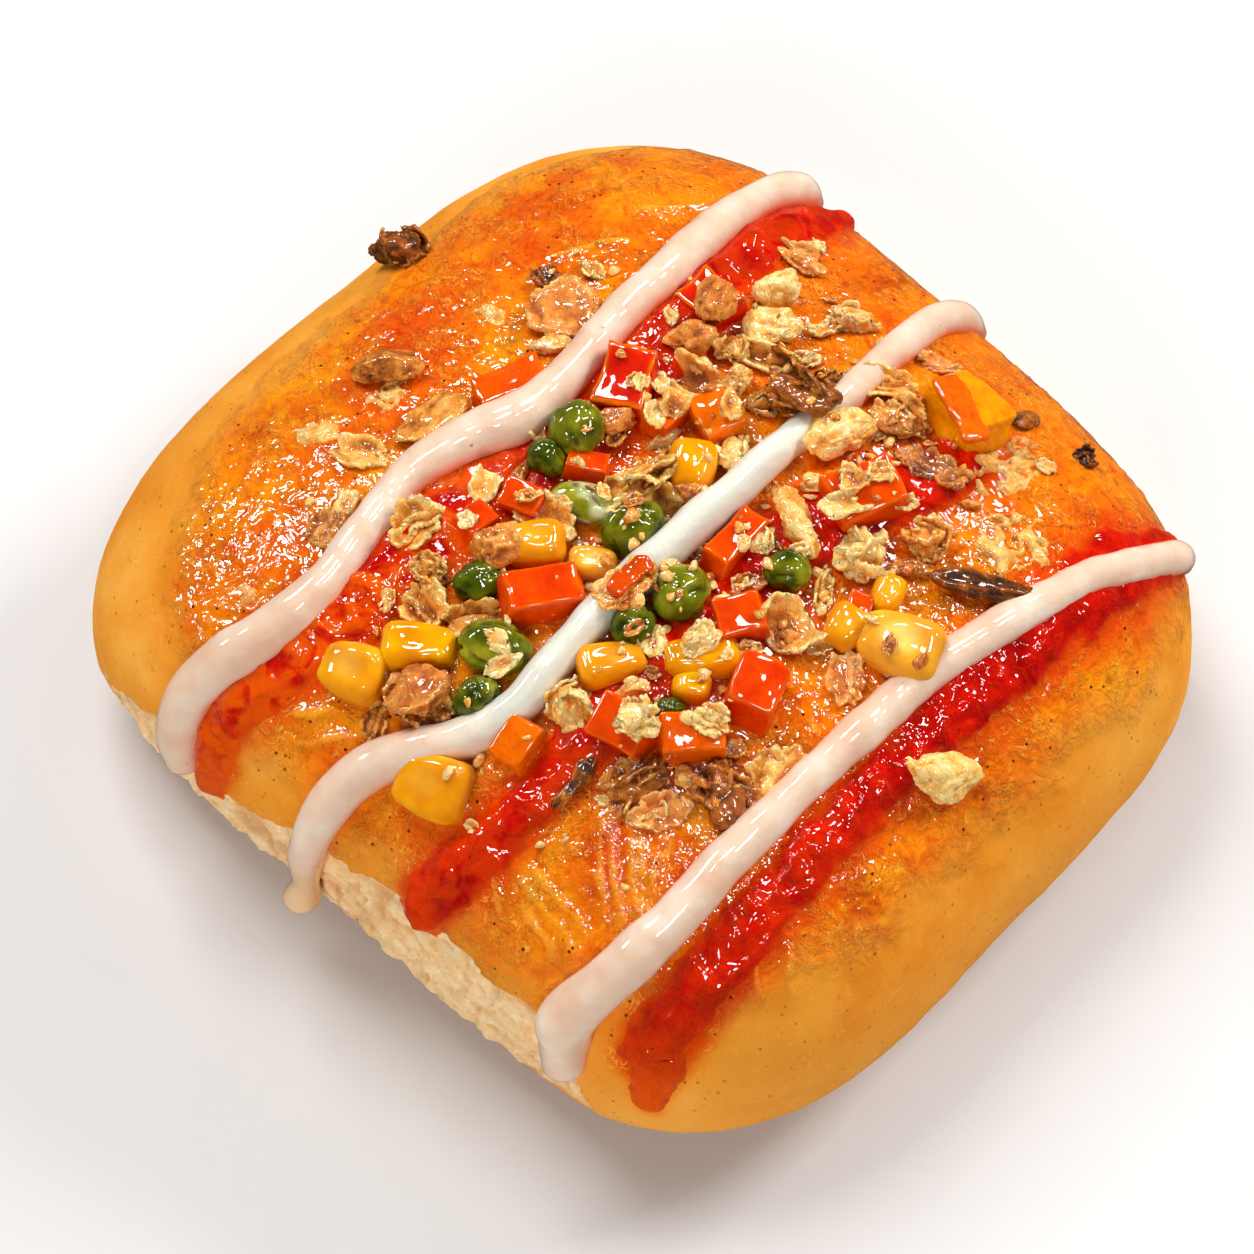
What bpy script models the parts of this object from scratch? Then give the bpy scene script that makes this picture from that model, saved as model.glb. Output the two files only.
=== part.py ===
"""A pizza bun: a square pull-apart roll with torn ends, drizzled with two sauces and topped with
peas, sweetcorn, diced carrot, pepper and fried onion.

Units are metres and +Z is up. The origin is at the middle of the flat base. The sauces run
along Y, and the torn ends face -Y and +Y.
"""

import math
import random

import bmesh
import bpy
from mathutils import Euler, Matrix, Vector, noise

MM = 0.001

# The roll. Its form is a rounded block: the plan is a superellipse, the dome and the belly meet
# at the widest level, and a flat tear trims each end where the next roll was baked against it.
HALF_WIDTH = 51.0 * MM
HALF_LENGTH = 49.3 * MM
TORN_HALF_LENGTH = 47.3 * MM
DOME_HEIGHT = 26.5 * MM
BELLY_DEPTH = 12.8 * MM
BASE_DEPTH = 10.2 * MM
PLAN_POWER = 3.4
DOME_POWER = 2.57
BELLY_POWER = 2.27
TEAR_POWER = 20.0
UNEVEN_PLAN = ((1, -0.006, -0.012), (3, 0.009, -0.008), (5, -0.009, 0.0))
ROLL_CUTS = 15

# Relief of the crust and of the torn crumb.
CRUST_SWELL = 0.55 * MM
CRUST_SWELL_SIZE = 22.0 * MM
TEAR_RECESS = 0.9 * MM
CRUMB_RELIEF = 0.9 * MM
CRUMB_SIZE = 5.0 * MM

# The white sauce lies on the crust as round ropes, and the red sauce as low, wide ribbons that are
# half sunk in it. The lift is how far the middle of a rope is above the crust, as a share of its
# half width.
WHITE_LIFT = 0.36
RED_HALF_HEIGHT = 1.3 * MM
RED_FULLNESS = 0.8
SAUCE_STEP = 4.2 * MM
WHITE_SIDES = 8
RED_SIDES = 6
SAUCE_TIP = 0.6

# Where the middle rope crosses the vegetables it rides up on them: (from y, to y) in mm, and by
# how much.
HEAP_SPAN = (-30.0, 16.0)
HEAP_SLOPE = 8.0
HEAP_RISE = 1.6 * MM

# Each line of sauce is (x, y, half width) in mm along the top, with the run of its drip down the
# torn end at -Y as (x, z, half width), and the level that it reaches on the end at +Y.
WHITE_ROPES = (
    {
        "drip": ((-21.0, 16.5, 2.2), (-21.5, 21.0, 2.8)),
        "top": (
            (-21.0, -43.0, 3.0), (-18.5, -37.5, 2.9), (-17.0, -30.0, 2.5), (-18.0, -22.0, 2.3),
            (-19.0, -14.5, 2.3), (-17.5, -8.0, 2.7), (-15.5, -3.0, 2.9), (-15.5, 2.5, 2.5),
            (-16.5, 9.5, 2.4), (-17.5, 16.5, 2.3), (-18.0, 23.0, 2.4), (-19.0, 30.0, 2.3),
            (-19.5, 37.0, 2.2), (-19.0, 42.0, 2.2),
        ),
        "far_z": 25.5,
        "over_heap": False,
    },
    {
        "drip": ((-4.0, 9.0, 2.2), (-3.5, 13.0, 1.6), (-3.0, 19.5, 2.3)),
        "top": (
            (-2.0, -43.5, 2.6), (-0.5, -39.5, 2.5), (2.0, -36.0, 2.5), (4.5, -33.0, 2.4),
            (6.5, -29.0, 2.3), (7.5, -25.5, 2.2), (7.0, -20.0, 2.1), (6.5, -12.5, 2.1),
            (6.5, -4.0, 2.1), (6.5, 5.0, 2.1), (6.0, 13.0, 2.0), (6.0, 22.0, 1.9),
            (5.0, 30.0, 2.1), (4.0, 37.0, 2.2), (4.5, 41.5, 2.2),
        ),
        "far_z": 25.0,
        "over_heap": True,
    },
    {
        "drip": ((31.0, 16.0, 2.4), (30.5, 20.0, 2.9)),
        "top": (
            (30.5, -42.5, 3.1), (32.0, -38.5, 2.9), (33.0, -32.0, 2.6), (33.0, -23.0, 2.5),
            (33.0, -14.0, 2.4), (33.0, -4.0, 2.3), (33.0, 5.5, 2.2), (34.0, 12.5, 2.2),
            (35.0, 19.0, 2.1), (36.0, 26.0, 2.1), (37.5, 32.5, 2.0), (38.0, 38.0, 2.0),
        ),
        "far_z": 21.5,
        "over_heap": False,
    },
)
RED_RIBBONS = (
    {
        "drip": ((-18.5, 12.5, 1.4), (-17.5, 19.0, 2.6)),
        "top": (
            (-17.0, -43.5, 3.2), (-15.0, -38.0, 3.8), (-13.5, -31.0, 4.4), (-13.0, -22.0, 4.2),
            (-11.5, -13.0, 4.6), (-10.5, -3.0, 4.2), (-10.0, 6.0, 4.6), (-11.5, 15.0, 4.2),
            (-13.5, 24.0, 3.8), (-14.5, 33.0, 3.4), (-14.5, 40.5, 2.8),
        ),
        "far_z": 26.0,
    },
    {
        "drip": ((11.0, 20.5, 1.8),),
        "top": (
            (12.0, -43.5, 3.0), (13.5, -40.0, 3.2), (14.5, -35.0, 2.9), (15.0, -30.0, 2.6),
            (15.0, -24.0, 3.4), (14.5, -12.0, 4.4), (14.0, 0.0, 4.8), (15.5, 11.0, 4.6),
            (18.0, 20.0, 4.0), (19.5, 28.0, 3.2),
        ),
        "far_z": None,
    },
    {
        "drip": ((39.0, 13.5, 1.6), (38.5, 20.0, 2.8)),
        "top": (
            (38.5, -40.0, 3.4), (39.0, -33.5, 3.2), (38.5, -24.0, 3.0), (38.0, -12.0, 3.2),
            (37.5, 0.0, 3.4), (37.0, 11.0, 3.8), (37.0, 21.0, 4.2), (37.0, 30.0, 4.2),
            (37.5, 37.0, 3.4),
        ),
        "far_z": 22.5,
    },
)

# Toppings. SUNK is the share of a piece's height that lies in the sauce, and each piece has a
# pocket in the roll that clears it all round.
CLEARANCE = 0.3 * MM
SUNK = 0.16

# How far the edges of a kernel and of a die are worn, and how much they narrow to one end, as a
# share of their half size.
KERNEL_WORN = 0.5
KERNEL_TAPER = 0.2
DICE_WORN = 0.16
DICE_TAPER = 0.06

# x, y, length, width and height in mm, and heading in degrees
PEAS = (
    (-10.0, -0.5, 6.5, 6.0, 6.0, 125), (-10.0, -4.5, 5.0, 4.5, 4.5, 95), (-3.5, -6.0, 7.5, 4.5, 4.5, 30),
    (2.5, -5.0, 7.5, 6.0, 5.5, 60), (-5.0, -19.5, 5.5, 4.5, 4.5, 65), (1.5, -23.5, 8.0, 5.5, 5.5, 45),
    (4.0, -28.5, 5.5, 5.0, 5.0, 45), (10.0, -13.0, 5.0, 5.0, 5.0, 45), (11.0, -7.0, 7.0, 6.0, 5.5, 65),
    (16.5, 2.5, 5.5, 4.5, 4.5, 45), (19.0, -17.0, 3.5, 3.0, 3.0, 45), (1.5, 19.0, 4.5, 4.0, 4.5, 45),
)
CORN = (
    (-8.0, -34.0, 6.5, 5.5, 4.5, 20), (-4.5, -28.5, 7.0, 4.5, 4.0, 45), (-3.5, -13.0, 6.0, 4.5, 4.5, 45),
    (1.5, 4.5, 5.5, 4.5, 4.0, 125), (11.5, -17.5, 6.5, 4.0, 4.0, 65), (17.0, -10.5, 7.0, 4.0, 3.5, 45),
    (24.5, 2.0, 4.5, 3.5, 3.5, 60), (29.5, 5.0, 8.0, 6.5, 5.0, 15), (6.0, -37.0, 7.5, 6.0, 4.0, 20),
    (25.0, 8.0, 4.0, 3.0, 3.5, 115), (2.0, -10.5, 4.5, 3.0, 3.0, 45), (18.5, -13.5, 3.5, 3.0, 3.0, 25),
)
CARROTS = (
    (-18.5, -1.0, 7.0, 5.0, 3.0, 65), (1.0, -16.5, 7.5, 4.5, 4.5, 55), (-6.5, -2.5, 4.0, 2.5, 2.5, 30),
    (-1.0, 10.5, 5.0, 4.0, 4.0, 160), (-5.0, 7.5, 4.0, 3.0, 2.5, 90), (10.5, 1.0, 7.0, 3.0, 3.5, 95),
    (16.0, 14.5, 7.0, 5.5, 5.0, 65), (17.0, -5.0, 4.5, 4.0, 4.5, 55), (23.5, -10.0, 5.5, 5.0, 5.5, 110),
    (17.0, -21.5, 5.5, 4.5, 4.5, 15), (22.5, -17.5, 6.0, 4.0, 4.5, 45), (10.0, -29.0, 4.5, 3.5, 3.5, 95),
    (-10.0, -15.0, 3.5, 3.0, 3.0, 80), (-8.0, -10.0, 4.0, 3.0, 3.5, 20), (24.0, 5.0, 2.5, 2.5, 2.5, 110),
)
PEPPERS = (
    (-10.5, 7.5, 6.5, 5.0, 4.0, 115), (-12.0, 21.0, 5.5, 4.5, 3.0, 175), (15.5, 29.5, 7.5, 5.5, 5.0, 170),
)

# Fried onion that lies on the crust or stands between the vegetables. Its last number is how far
# it leans, in degrees. ONION_LIFT is how far its middle is above the crust, as a share of its
# height.
ONION_LIFT = 0.30
ONION = (
    (-43.0, 7.5, 6.0, 5.5, 5.5, 45, 10), (-31.0, -7.0, 6.0, 4.0, 3.0, 30, 0),
    (40.5, -1.0, 7.0, 4.5, 3.5, 40, 0), (-24.0, 11.0, 8.5, 6.5, 2.0, 150, 0),
    (-23.0, -8.5, 9.0, 5.0, 1.5, 90, 0), (-23.5, -17.5, 6.0, 4.0, 1.5, 10, 0),
    (-22.5, -25.0, 6.0, 4.0, 1.5, 90, 0), (-14.5, -18.5, 6.5, 5.0, 3.0, 80, 12),
    (-9.0, -22.5, 6.5, 4.5, 3.0, 10, 12), (-2.0, -33.0, 7.0, 6.5, 4.0, 95, 12),
    (-3.5, -36.0, 5.0, 3.0, 2.0, 110, 10), (-6.5, -15.0, 5.0, 3.5, 3.0, 65, 15),
    (-4.0, -22.0, 6.0, 3.5, 3.0, 55, 15), (-2.0, 0.5, 8.5, 6.5, 5.0, 65, 12),
    (-8.5, 28.0, 5.5, 4.5, 4.0, 45, 0), (-4.5, 23.0, 7.5, 4.5, 3.5, 30, 0),
    (-10.0, 19.0, 7.0, 4.0, 3.5, 95, 15), (-7.5, 13.5, 8.0, 4.0, 3.5, 30, 25),
    (-3.0, 17.5, 5.0, 4.0, 3.5, 45, 10), (-10.5, 33.5, 5.5, 3.5, 2.0, 160, 10),
    (-0.5, 30.5, 5.5, 4.5, 3.0, 80, 10), (4.0, 20.5, 9.5, 5.0, 4.5, 30, 10),
    (6.0, 26.5, 8.5, 3.0, 3.0, 25, 10), (10.5, 18.0, 7.0, 5.0, 4.0, 55, 0),
    (12.5, 26.0, 7.0, 5.0, 4.0, 30, 10), (8.0, 34.5, 5.0, 2.5, 2.0, 30, 10),
    (19.0, 36.0, 3.5, 2.0, 2.0, 65, 0), (27.5, 36.0, 3.5, 3.0, 1.5, 20, 0),
    (22.0, 25.5, 7.0, 3.5, 1.5, 10, 0), (25.5, 14.0, 5.0, 4.0, 3.0, 45, 0),
    (31.5, 17.5, 13.0, 3.0, 2.0, 35, 6), (13.0, 7.5, 9.0, 4.0, 4.0, 155, 20),
    (21.0, -1.0, 5.5, 5.0, 4.5, 80, 20), (29.5, -2.5, 5.5, 4.5, 2.0, 110, 10),
    (12.0, -23.5, 5.5, 5.0, 4.0, 110, 20), (17.0, -29.0, 5.5, 3.5, 2.5, 100, 15),
    (21.0, -24.5, 7.5, 3.5, 2.5, 45, 15), (25.5, -23.5, 6.0, 4.5, 2.5, 55, 10),
    (28.5, -19.5, 7.5, 4.0, 3.0, 120, 15), (31.0, -13.5, 6.5, 6.0, 3.0, 90, 10),
    (19.0, 9.0, 7.0, 3.5, 3.5, 55, 10), (4.0, 9.5, 5.5, 4.0, 4.0, 110, 10),
    (-13.5, -9.5, 3.5, 2.0, 2.0, 110, 10), (27.5, 22.0, 9.0, 3.0, 1.5, 20, 0),
)

COLOURS = {
    "bun": ((0.85, 0.42, 0.10), 0.35),
    "pea": ((0.16, 0.32, 0.03), 0.25),
    "corn": ((0.86, 0.52, 0.03), 0.25),
    "carrot": ((0.86, 0.17, 0.01), 0.35),
    "pepper": ((0.75, 0.06, 0.01), 0.22),
}


def clear_scene():
    for obj in list(bpy.data.objects):
        bpy.data.objects.remove(obj, do_unlink=True)


def collection(name, hidden=False):
    made = bpy.data.collections.new(name)
    bpy.context.scene.collection.children.link(made)
    made.hide_render = hidden
    return made


def material(name):
    colour, roughness = COLOURS[name]
    made = bpy.data.materials.new(name)
    made.use_nodes = True
    shader = made.node_tree.nodes["Principled BSDF"]
    shader.inputs["Base Color"].default_value = (*colour, 1.0)
    shader.inputs["Roughness"].default_value = roughness
    shader.inputs["Metallic"].default_value = 0.0
    return made


def loaf_size(x, y, z):
    """How far (x, y, z), measured from the widest level, is out to the untorn crust, as a share."""
    angle = math.atan2(y / HALF_LENGTH, x / HALF_WIDTH)
    uneven = 1.0 + sum(c * math.cos(k * angle) + s * math.sin(k * angle) for k, c, s in UNEVEN_PLAN)
    plan = (abs(x / HALF_WIDTH) ** PLAN_POWER + abs(y / HALF_LENGTH) ** PLAN_POWER) ** (1 / PLAN_POWER)
    depth, power = (DOME_HEIGHT, DOME_POWER) if z >= 0 else (BELLY_DEPTH, BELLY_POWER)
    return ((plan / uneven) ** power + abs(z / depth) ** power) ** (1 / power)


def roll_size(x, y, z):
    """The same share for the roll with its torn ends."""
    torn = abs(y) / TORN_HALF_LENGTH
    return (loaf_size(x, y, z) ** TEAR_POWER + torn**TEAR_POWER) ** (1 / TEAR_POWER)


def tear_share(x, y, z):
    """1 on a torn end, 0 on the crust."""
    torn = (abs(y) / TORN_HALF_LENGTH / roll_size(x, y, z)) ** TEAR_POWER
    return min(1.0, max(0.0, (torn - 0.35) / 0.3))


def outermost(inside_at, reach=60.0 * MM, steps=22):
    """The largest value that inside_at accepts, by halving."""
    low, high = 0.0, reach
    for _ in range(steps):
        middle = (low + high) / 2
        low, high = (middle, high) if inside_at(middle) else (low, middle)
    return low


def top_at(x, y):
    """The point of the dome above (x, y)."""
    z = outermost(lambda z: roll_size(x, y, z) < 1)
    return Vector((x, y, z + BASE_DEPTH))


def end_at(x, z, side):
    """The point of the torn end, at -Y or +Y, at (x, z)."""
    y = outermost(lambda y: roll_size(x, y, z - BASE_DEPTH) < 1)
    return Vector((x, side * y, z))


def outward(point, step=0.2 * MM):
    """The roll's outward normal at a point of its surface, without the relief."""
    at = Vector((point.x, point.y, point.z - BASE_DEPTH))
    slope = [
        roll_size(*(at + step * axis)) - roll_size(*(at - step * axis))
        for axis in (Vector((1, 0, 0)), Vector((0, 1, 0)), Vector((0, 0, 1)))
    ]
    return Vector(slope).normalized()


def relief(point):
    """How far the crust or crumb stands out of the plain form at a point."""
    at = Vector((point.x, point.y, point.z - BASE_DEPTH))
    torn = tear_share(*at)
    swell = CRUST_SWELL * noise.noise(at / CRUST_SWELL_SIZE)
    crumb = CRUMB_RELIEF * noise.noise(Vector((at.x, at.y * 0.3, at.z * 0.6)) / CRUMB_SIZE)
    return swell * (1 - torn) + (crumb - TEAR_RECESS) * torn


def object_of(name, mesh, where, material_name=None):
    obj = bpy.data.objects.new(name, mesh)
    where.objects.link(obj)
    if material_name:
        mesh.materials.append(bpy.data.materials[material_name])
    return obj


def evaluated_copy(obj):
    """The object's mesh with its modifiers applied."""
    graph = bpy.context.evaluated_depsgraph_get()
    graph.update()
    return bpy.data.meshes.new_from_object(obj.evaluated_get(graph))


def roll(where):
    """The roll: a gridded cube whose points are carried out to the crust, with a flat base."""
    shape = bmesh.new()
    bmesh.ops.create_cube(shape, size=2.0)
    bmesh.ops.subdivide_edges(shape, edges=shape.edges[:], cuts=ROLL_CUTS, use_grid_fill=True)
    for vert in shape.verts:
        u = vert.co
        ray = Vector((u.x * HALF_WIDTH, u.y * HALF_LENGTH, u.z * (DOME_HEIGHT if u.z > 0 else BELLY_DEPTH)))
        point = ray / roll_size(*ray)
        point.z += BASE_DEPTH
        if point.z > 0:
            point += outward(point) * relief(point)
        point.z = max(0.0, point.z)
        vert.co = point
    bmesh.ops.dissolve_limit(
        shape, angle_limit=math.radians(0.5), verts=shape.verts[:], edges=shape.edges[:]
    )
    mesh = bpy.data.meshes.new("roll")
    shape.to_mesh(mesh)
    shape.free()
    return object_of("roll", mesh, where)


def smooth_route(points):
    """Points about SAUCE_STEP apart along a Catmull-Rom curve through the given ones."""
    route = []
    padded = [points[0], *points, points[-1]]
    for before, start, end, after in zip(padded, padded[1:], padded[2:], padded[3:]):
        steps = max(1, round((end - start).length / SAUCE_STEP))
        for i in range(steps):
            t = i / steps
            route.append(0.5 * (
                2 * start + (end - before) * t
                + (2 * before - 5 * start + 4 * end - after) * t**2
                + (3 * start - before - 3 * end + after) * t**3
            ))
    return route + [points[-1]]


def sauce_route(line):
    """(point on the roll, half width) along a line of sauce, from its drip to its far end."""
    # A fourth number rides along with each point, so that the width is smoothed with the route.
    marks = [(end_at(x * MM, z * MM, -1), w * MM) for x, z, w in line["drip"]]
    marks += [(top_at(x * MM, y * MM), w * MM) for x, y, w in line["top"]]
    if line["far_z"]:
        last_x, _, last_w = line["top"][-1]
        marks.append((end_at(last_x * MM, line["far_z"] * MM, 1), last_w * MM * 0.8))
    route = smooth_route([Vector((*point, width)) for point, width in marks])
    return [(Vector(p[:3]), p[3]) for p in route]


def heap_rise(y):
    """How far a rope that crosses the vegetables is lifted at y."""
    start, end = HEAP_SPAN
    near = min(y / MM - start, end - y / MM) / HEAP_SLOPE
    near = min(1.0, max(0.0, near))
    return HEAP_RISE * near * near * (3 - 2 * near)


def ring_of(shape, centre, side, up, half_width, half_height, sides):
    ring = []
    for i in range(sides):
        angle = math.tau * i / sides
        offset = side * half_width * math.cos(angle) + up * half_height * math.sin(angle)
        ring.append(shape.verts.new(centre + offset))
    return ring


def sauce_body(name, rings, sides, where):
    """A closed rope through (centre, up, half width, half height) rings, with drawn-in tips."""
    shape = bmesh.new()
    centres = [ring[0] for ring in rings]
    loops = []
    for i, (centre, up, half_width, half_height) in enumerate(rings):
        along = (centres[min(i + 1, len(rings) - 1)] - centres[max(i - 1, 0)]).normalized()
        side = along.cross(up).normalized()
        if i == 0:
            tip = shape.verts.new(centre - along * half_height * SAUCE_TIP)
        loops.append(ring_of(shape, centre, side, side.cross(along), half_width, half_height, sides))
    end_tip = shape.verts.new(centre + along * half_height * SAUCE_TIP)
    for near, far in zip(loops, loops[1:]):
        for i in range(sides):
            shape.faces.new((near[i - 1], near[i], far[i], far[i - 1]))
    for i in range(sides):
        shape.faces.new((loops[0][i], loops[0][i - 1], tip))
        shape.faces.new((loops[-1][i - 1], loops[-1][i], end_tip))
    bmesh.ops.recalc_face_normals(shape, faces=shape.faces[:])
    mesh = bpy.data.meshes.new(name)
    shape.to_mesh(mesh)
    shape.free()
    return object_of(name, mesh, where)


def white_rope(name, line, where, grow=0.0):
    rings = []
    for point, half_width in sauce_route(line):
        rise = heap_rise(point.y) if line["over_heap"] else 0.0
        up = outward(point)
        centre = point + up * (WHITE_LIFT * half_width + rise / 2)
        rings.append((centre, up, half_width + grow, half_width + rise / 2 + grow))
    return sauce_body(name, rings, WHITE_SIDES, where)


def red_ribbon(name, line, where):
    rings = []
    for point, half_width in sauce_route(line):
        height = min(RED_HALF_HEIGHT, half_width * RED_FULLNESS)
        rings.append((point, outward(point), half_width, height))
    return sauce_body(name, rings, RED_SIDES, where)


def pea_shape():
    """A ball of one, with the dimple that a cooked pea has."""
    shape = bmesh.new()
    bmesh.ops.create_icosphere(shape, subdivisions=2, radius=1.0)
    dimple = Vector((0.35, 0.2, 1.0)).normalized()
    for vert in shape.verts:
        near = max(0.0, vert.co.normalized().dot(dimple) - 0.8) / 0.2
        vert.co *= 1.0 - 0.14 * near
    return shape


def block_shape(worn, taper):
    """A block of one with worn edges, narrower towards -X."""
    shape = bmesh.new()
    bmesh.ops.create_cube(shape, size=2.0)
    for vert in shape.verts:
        vert.co.y *= 1.0 + taper * vert.co.x
        vert.co.x *= 1.0 - 0.10 * vert.co.z
    bmesh.ops.bevel(
        shape, geom=shape.edges[:] + shape.verts[:], offset=worn, segments=1, profile=0.5, affect="EDGES"
    )
    return shape


def onion_shape(seed):
    """A crisp flake: a ball of one pulled into lobes, unlike any other flake."""
    shape = bmesh.new()
    bmesh.ops.create_uvsphere(shape, u_segments=5, v_segments=4, radius=1.0)
    offset = Vector((seed * 7.3, seed * 3.1, seed * 5.7))
    for vert in shape.verts:
        vert.co *= 1.0 + 0.42 * noise.noise(vert.co * 1.7 + offset)
    return shape


def placed(shape, size, place, grow=0.0):
    """A mesh of the unit shape at its size, grown all round, turned and set in its place."""
    half = [side / 2 * MM + grow for side in size]
    made = shape.copy()
    bmesh.ops.transform(made, matrix=place @ Matrix.Diagonal((*half, 1.0)), verts=made.verts[:])
    bmesh.ops.recalc_face_normals(made, faces=made.faces[:])
    mesh = bpy.data.meshes.new("piece")
    made.to_mesh(mesh)
    made.free()
    return mesh


def resting_place(x, y, height, heading, lean, sunk):
    """Where a piece of that height lies, square to the dome at (x, y), with sunk of it below."""
    point = top_at(x * MM, y * MM)
    up = outward(point)
    upright = Vector((0, 0, 1)).rotation_difference(up).to_matrix().to_4x4()
    turn = Euler((math.radians(lean), 0.0, math.radians(heading)), "ZYX").to_matrix().to_4x4()
    return Matrix.Translation(point + up * height * MM * (0.5 - sunk)) @ upright @ turn


def vegetables(where, cutters):
    """One object for each vegetable piece, and for each a slightly larger cutter."""
    kinds = (
        ("pea", PEAS, pea_shape()),
        ("corn", CORN, block_shape(KERNEL_WORN, KERNEL_TAPER)),
        ("carrot", CARROTS, block_shape(DICE_WORN, DICE_TAPER)),
        ("pepper", PEPPERS, block_shape(DICE_WORN, DICE_TAPER)),
    )
    made = []
    for kind, rows, shape in kinds:
        for number, (x, y, length, width, height, heading) in enumerate(rows, 1):
            size = (length, width, height)
            lean = random.uniform(-12, 12)
            place = resting_place(x, y, height, heading, lean, SUNK)
            name = f"{kind}_{number}"
            piece = object_of(name, placed(shape, size, place), where, kind)
            object_of(f"{name}_clearance", placed(shape, size, place, CLEARANCE), cutters)
            made.append(piece)
        shape.free()
    return made


def onion(where):
    for number, (x, y, length, width, height, heading, lean) in enumerate(ONION, 1):
        shape = onion_shape(number)
        place = resting_place(x, y, height, heading, lean, 0.5 - ONION_LIFT)
        object_of(f"onion_{number}", placed(shape, (length, width, height), place), where)
        shape.free()


def apply_boolean(obj, operation, operands):
    cut = obj.modifiers.new(operation.lower(), "BOOLEAN")
    cut.operation = operation
    cut.operand_type = "COLLECTION"
    cut.collection = operands
    cut.solver = "MANIFOLD"
    mesh = evaluated_copy(obj)
    obj.modifiers.clear()
    obj.data = mesh


def keep_largest_body(obj):
    """Splits the many-sided faces that a cut leaves, and drops loose scraps."""
    shape = bmesh.new()
    shape.from_mesh(obj.data)
    bmesh.ops.triangulate(shape, faces=shape.faces[:], ngon_method="BEAUTY")
    left, bodies = set(shape.faces), []
    while left:
        body, fresh = [], [left.pop()]
        while fresh:
            face = fresh.pop()
            body.append(face)
            beside = {f for edge in face.edges for f in edge.link_faces} & left
            left -= beside
            fresh.extend(beside)
        bodies.append(body)
    bodies.sort(key=len)
    for scrap in bodies[:-1]:
        bmesh.ops.delete(shape, geom=scrap, context="FACES")
    shape.to_mesh(obj.data)
    shape.free()


def nest(pieces, cutters, ropes):
    """Cuts each piece clear of the ropes, and of the higher pieces that it meets."""
    beside = collection("beside", hidden=True)
    pieces = sorted(pieces, key=top_of, reverse=True)
    for i, piece in enumerate(pieces):
        for rope in ropes.objects:
            if nearest_gap(piece, rope) < reach_of(piece):
                beside.objects.link(rope)
        for other in pieces[:i]:
            gap = (middle_of(piece) - middle_of(other)).length
            if gap < reach_of(piece) + reach_of(other) + CLEARANCE:
                beside.objects.link(cutters.objects[f"{other.name}_clearance"])
        if beside.objects:
            apply_boolean(piece, "DIFFERENCE", beside)
            keep_largest_body(piece)
        for cutter in list(beside.objects):
            beside.objects.unlink(cutter)
    bpy.data.collections.remove(beside)


def top_of(obj):
    return max(vert.co.z for vert in obj.data.vertices)


def nearest_gap(piece, rope):
    """From the middle of the piece to the nearest point of the rope's skin."""
    middle = middle_of(piece)
    found, nearest, _, _ = rope.closest_point_on_mesh(middle)
    return (nearest - middle).length if found else math.inf


def middle_of(obj):
    return sum((vert.co for vert in obj.data.vertices), Vector()) / len(obj.data.vertices)


def reach_of(obj):
    middle = middle_of(obj)
    return max((vert.co - middle).length for vert in obj.data.vertices)


def main():
    random.seed(5)
    clear_scene()
    for name in COLOURS:
        material(name)
    parts = collection("pizza_bun")
    fused = collection("fused", hidden=True)
    ropes = collection("ropes", hidden=True)
    rope_cutters = collection("rope_clearances", hidden=True)
    cutters = collection("clearances", hidden=True)

    for number, line in enumerate(WHITE_ROPES, 1):
        white_rope(f"white_rope_{number}", line, ropes)
        white_rope(f"white_rope_{number}_clearance", line, rope_cutters, CLEARANCE)
    nest(vegetables(parts, cutters), cutters, rope_cutters)

    for number, line in enumerate(RED_RIBBONS, 1):
        red_ribbon(f"red_ribbon_{number}", line, fused)
    onion(fused)
    bun = roll(parts)
    apply_boolean(bun, "UNION", fused)
    apply_boolean(bun, "DIFFERENCE", cutters)
    apply_boolean(bun, "UNION", ropes)
    keep_largest_body(bun)
    bun.name = bun.data.name = "bun"
    bun.data.materials.clear()
    bun.data.materials.append(bpy.data.materials["bun"])
    for helpers in (fused, ropes, rope_cutters, cutters):
        for helper in list(helpers.objects):
            bpy.data.objects.remove(helper, do_unlink=True)


main()
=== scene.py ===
import math
import random

import bmesh
import bpy
import numpy as np
from mathutils import Matrix, Vector
from mathutils.bvhtree import BVHTree


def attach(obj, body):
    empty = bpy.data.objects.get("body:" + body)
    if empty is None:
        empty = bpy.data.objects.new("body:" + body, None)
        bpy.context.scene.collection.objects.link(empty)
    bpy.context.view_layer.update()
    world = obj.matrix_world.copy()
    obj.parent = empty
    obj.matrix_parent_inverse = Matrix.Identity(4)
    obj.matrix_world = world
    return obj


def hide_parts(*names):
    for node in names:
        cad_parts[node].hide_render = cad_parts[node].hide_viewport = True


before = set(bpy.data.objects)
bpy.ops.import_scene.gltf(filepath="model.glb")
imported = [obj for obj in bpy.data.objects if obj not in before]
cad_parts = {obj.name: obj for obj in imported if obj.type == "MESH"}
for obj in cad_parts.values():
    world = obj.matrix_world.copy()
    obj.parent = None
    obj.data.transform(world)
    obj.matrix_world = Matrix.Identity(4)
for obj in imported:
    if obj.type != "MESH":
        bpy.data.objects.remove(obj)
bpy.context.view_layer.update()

MM = 0.001

# The camera of the photograph: it looks down on the corner between the torn end and the side.
AZIMUTH = 43.97
ELEVATION = 58.85
DISTANCE = 600.0 * MM
LENS_MM = 164.9
SENSOR_MM = 36.0
AIM_HEIGHT = 16.0 * MM
AIM_RIGHT = -2.37 * MM
AIM_UP = -2.84 * MM

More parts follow.
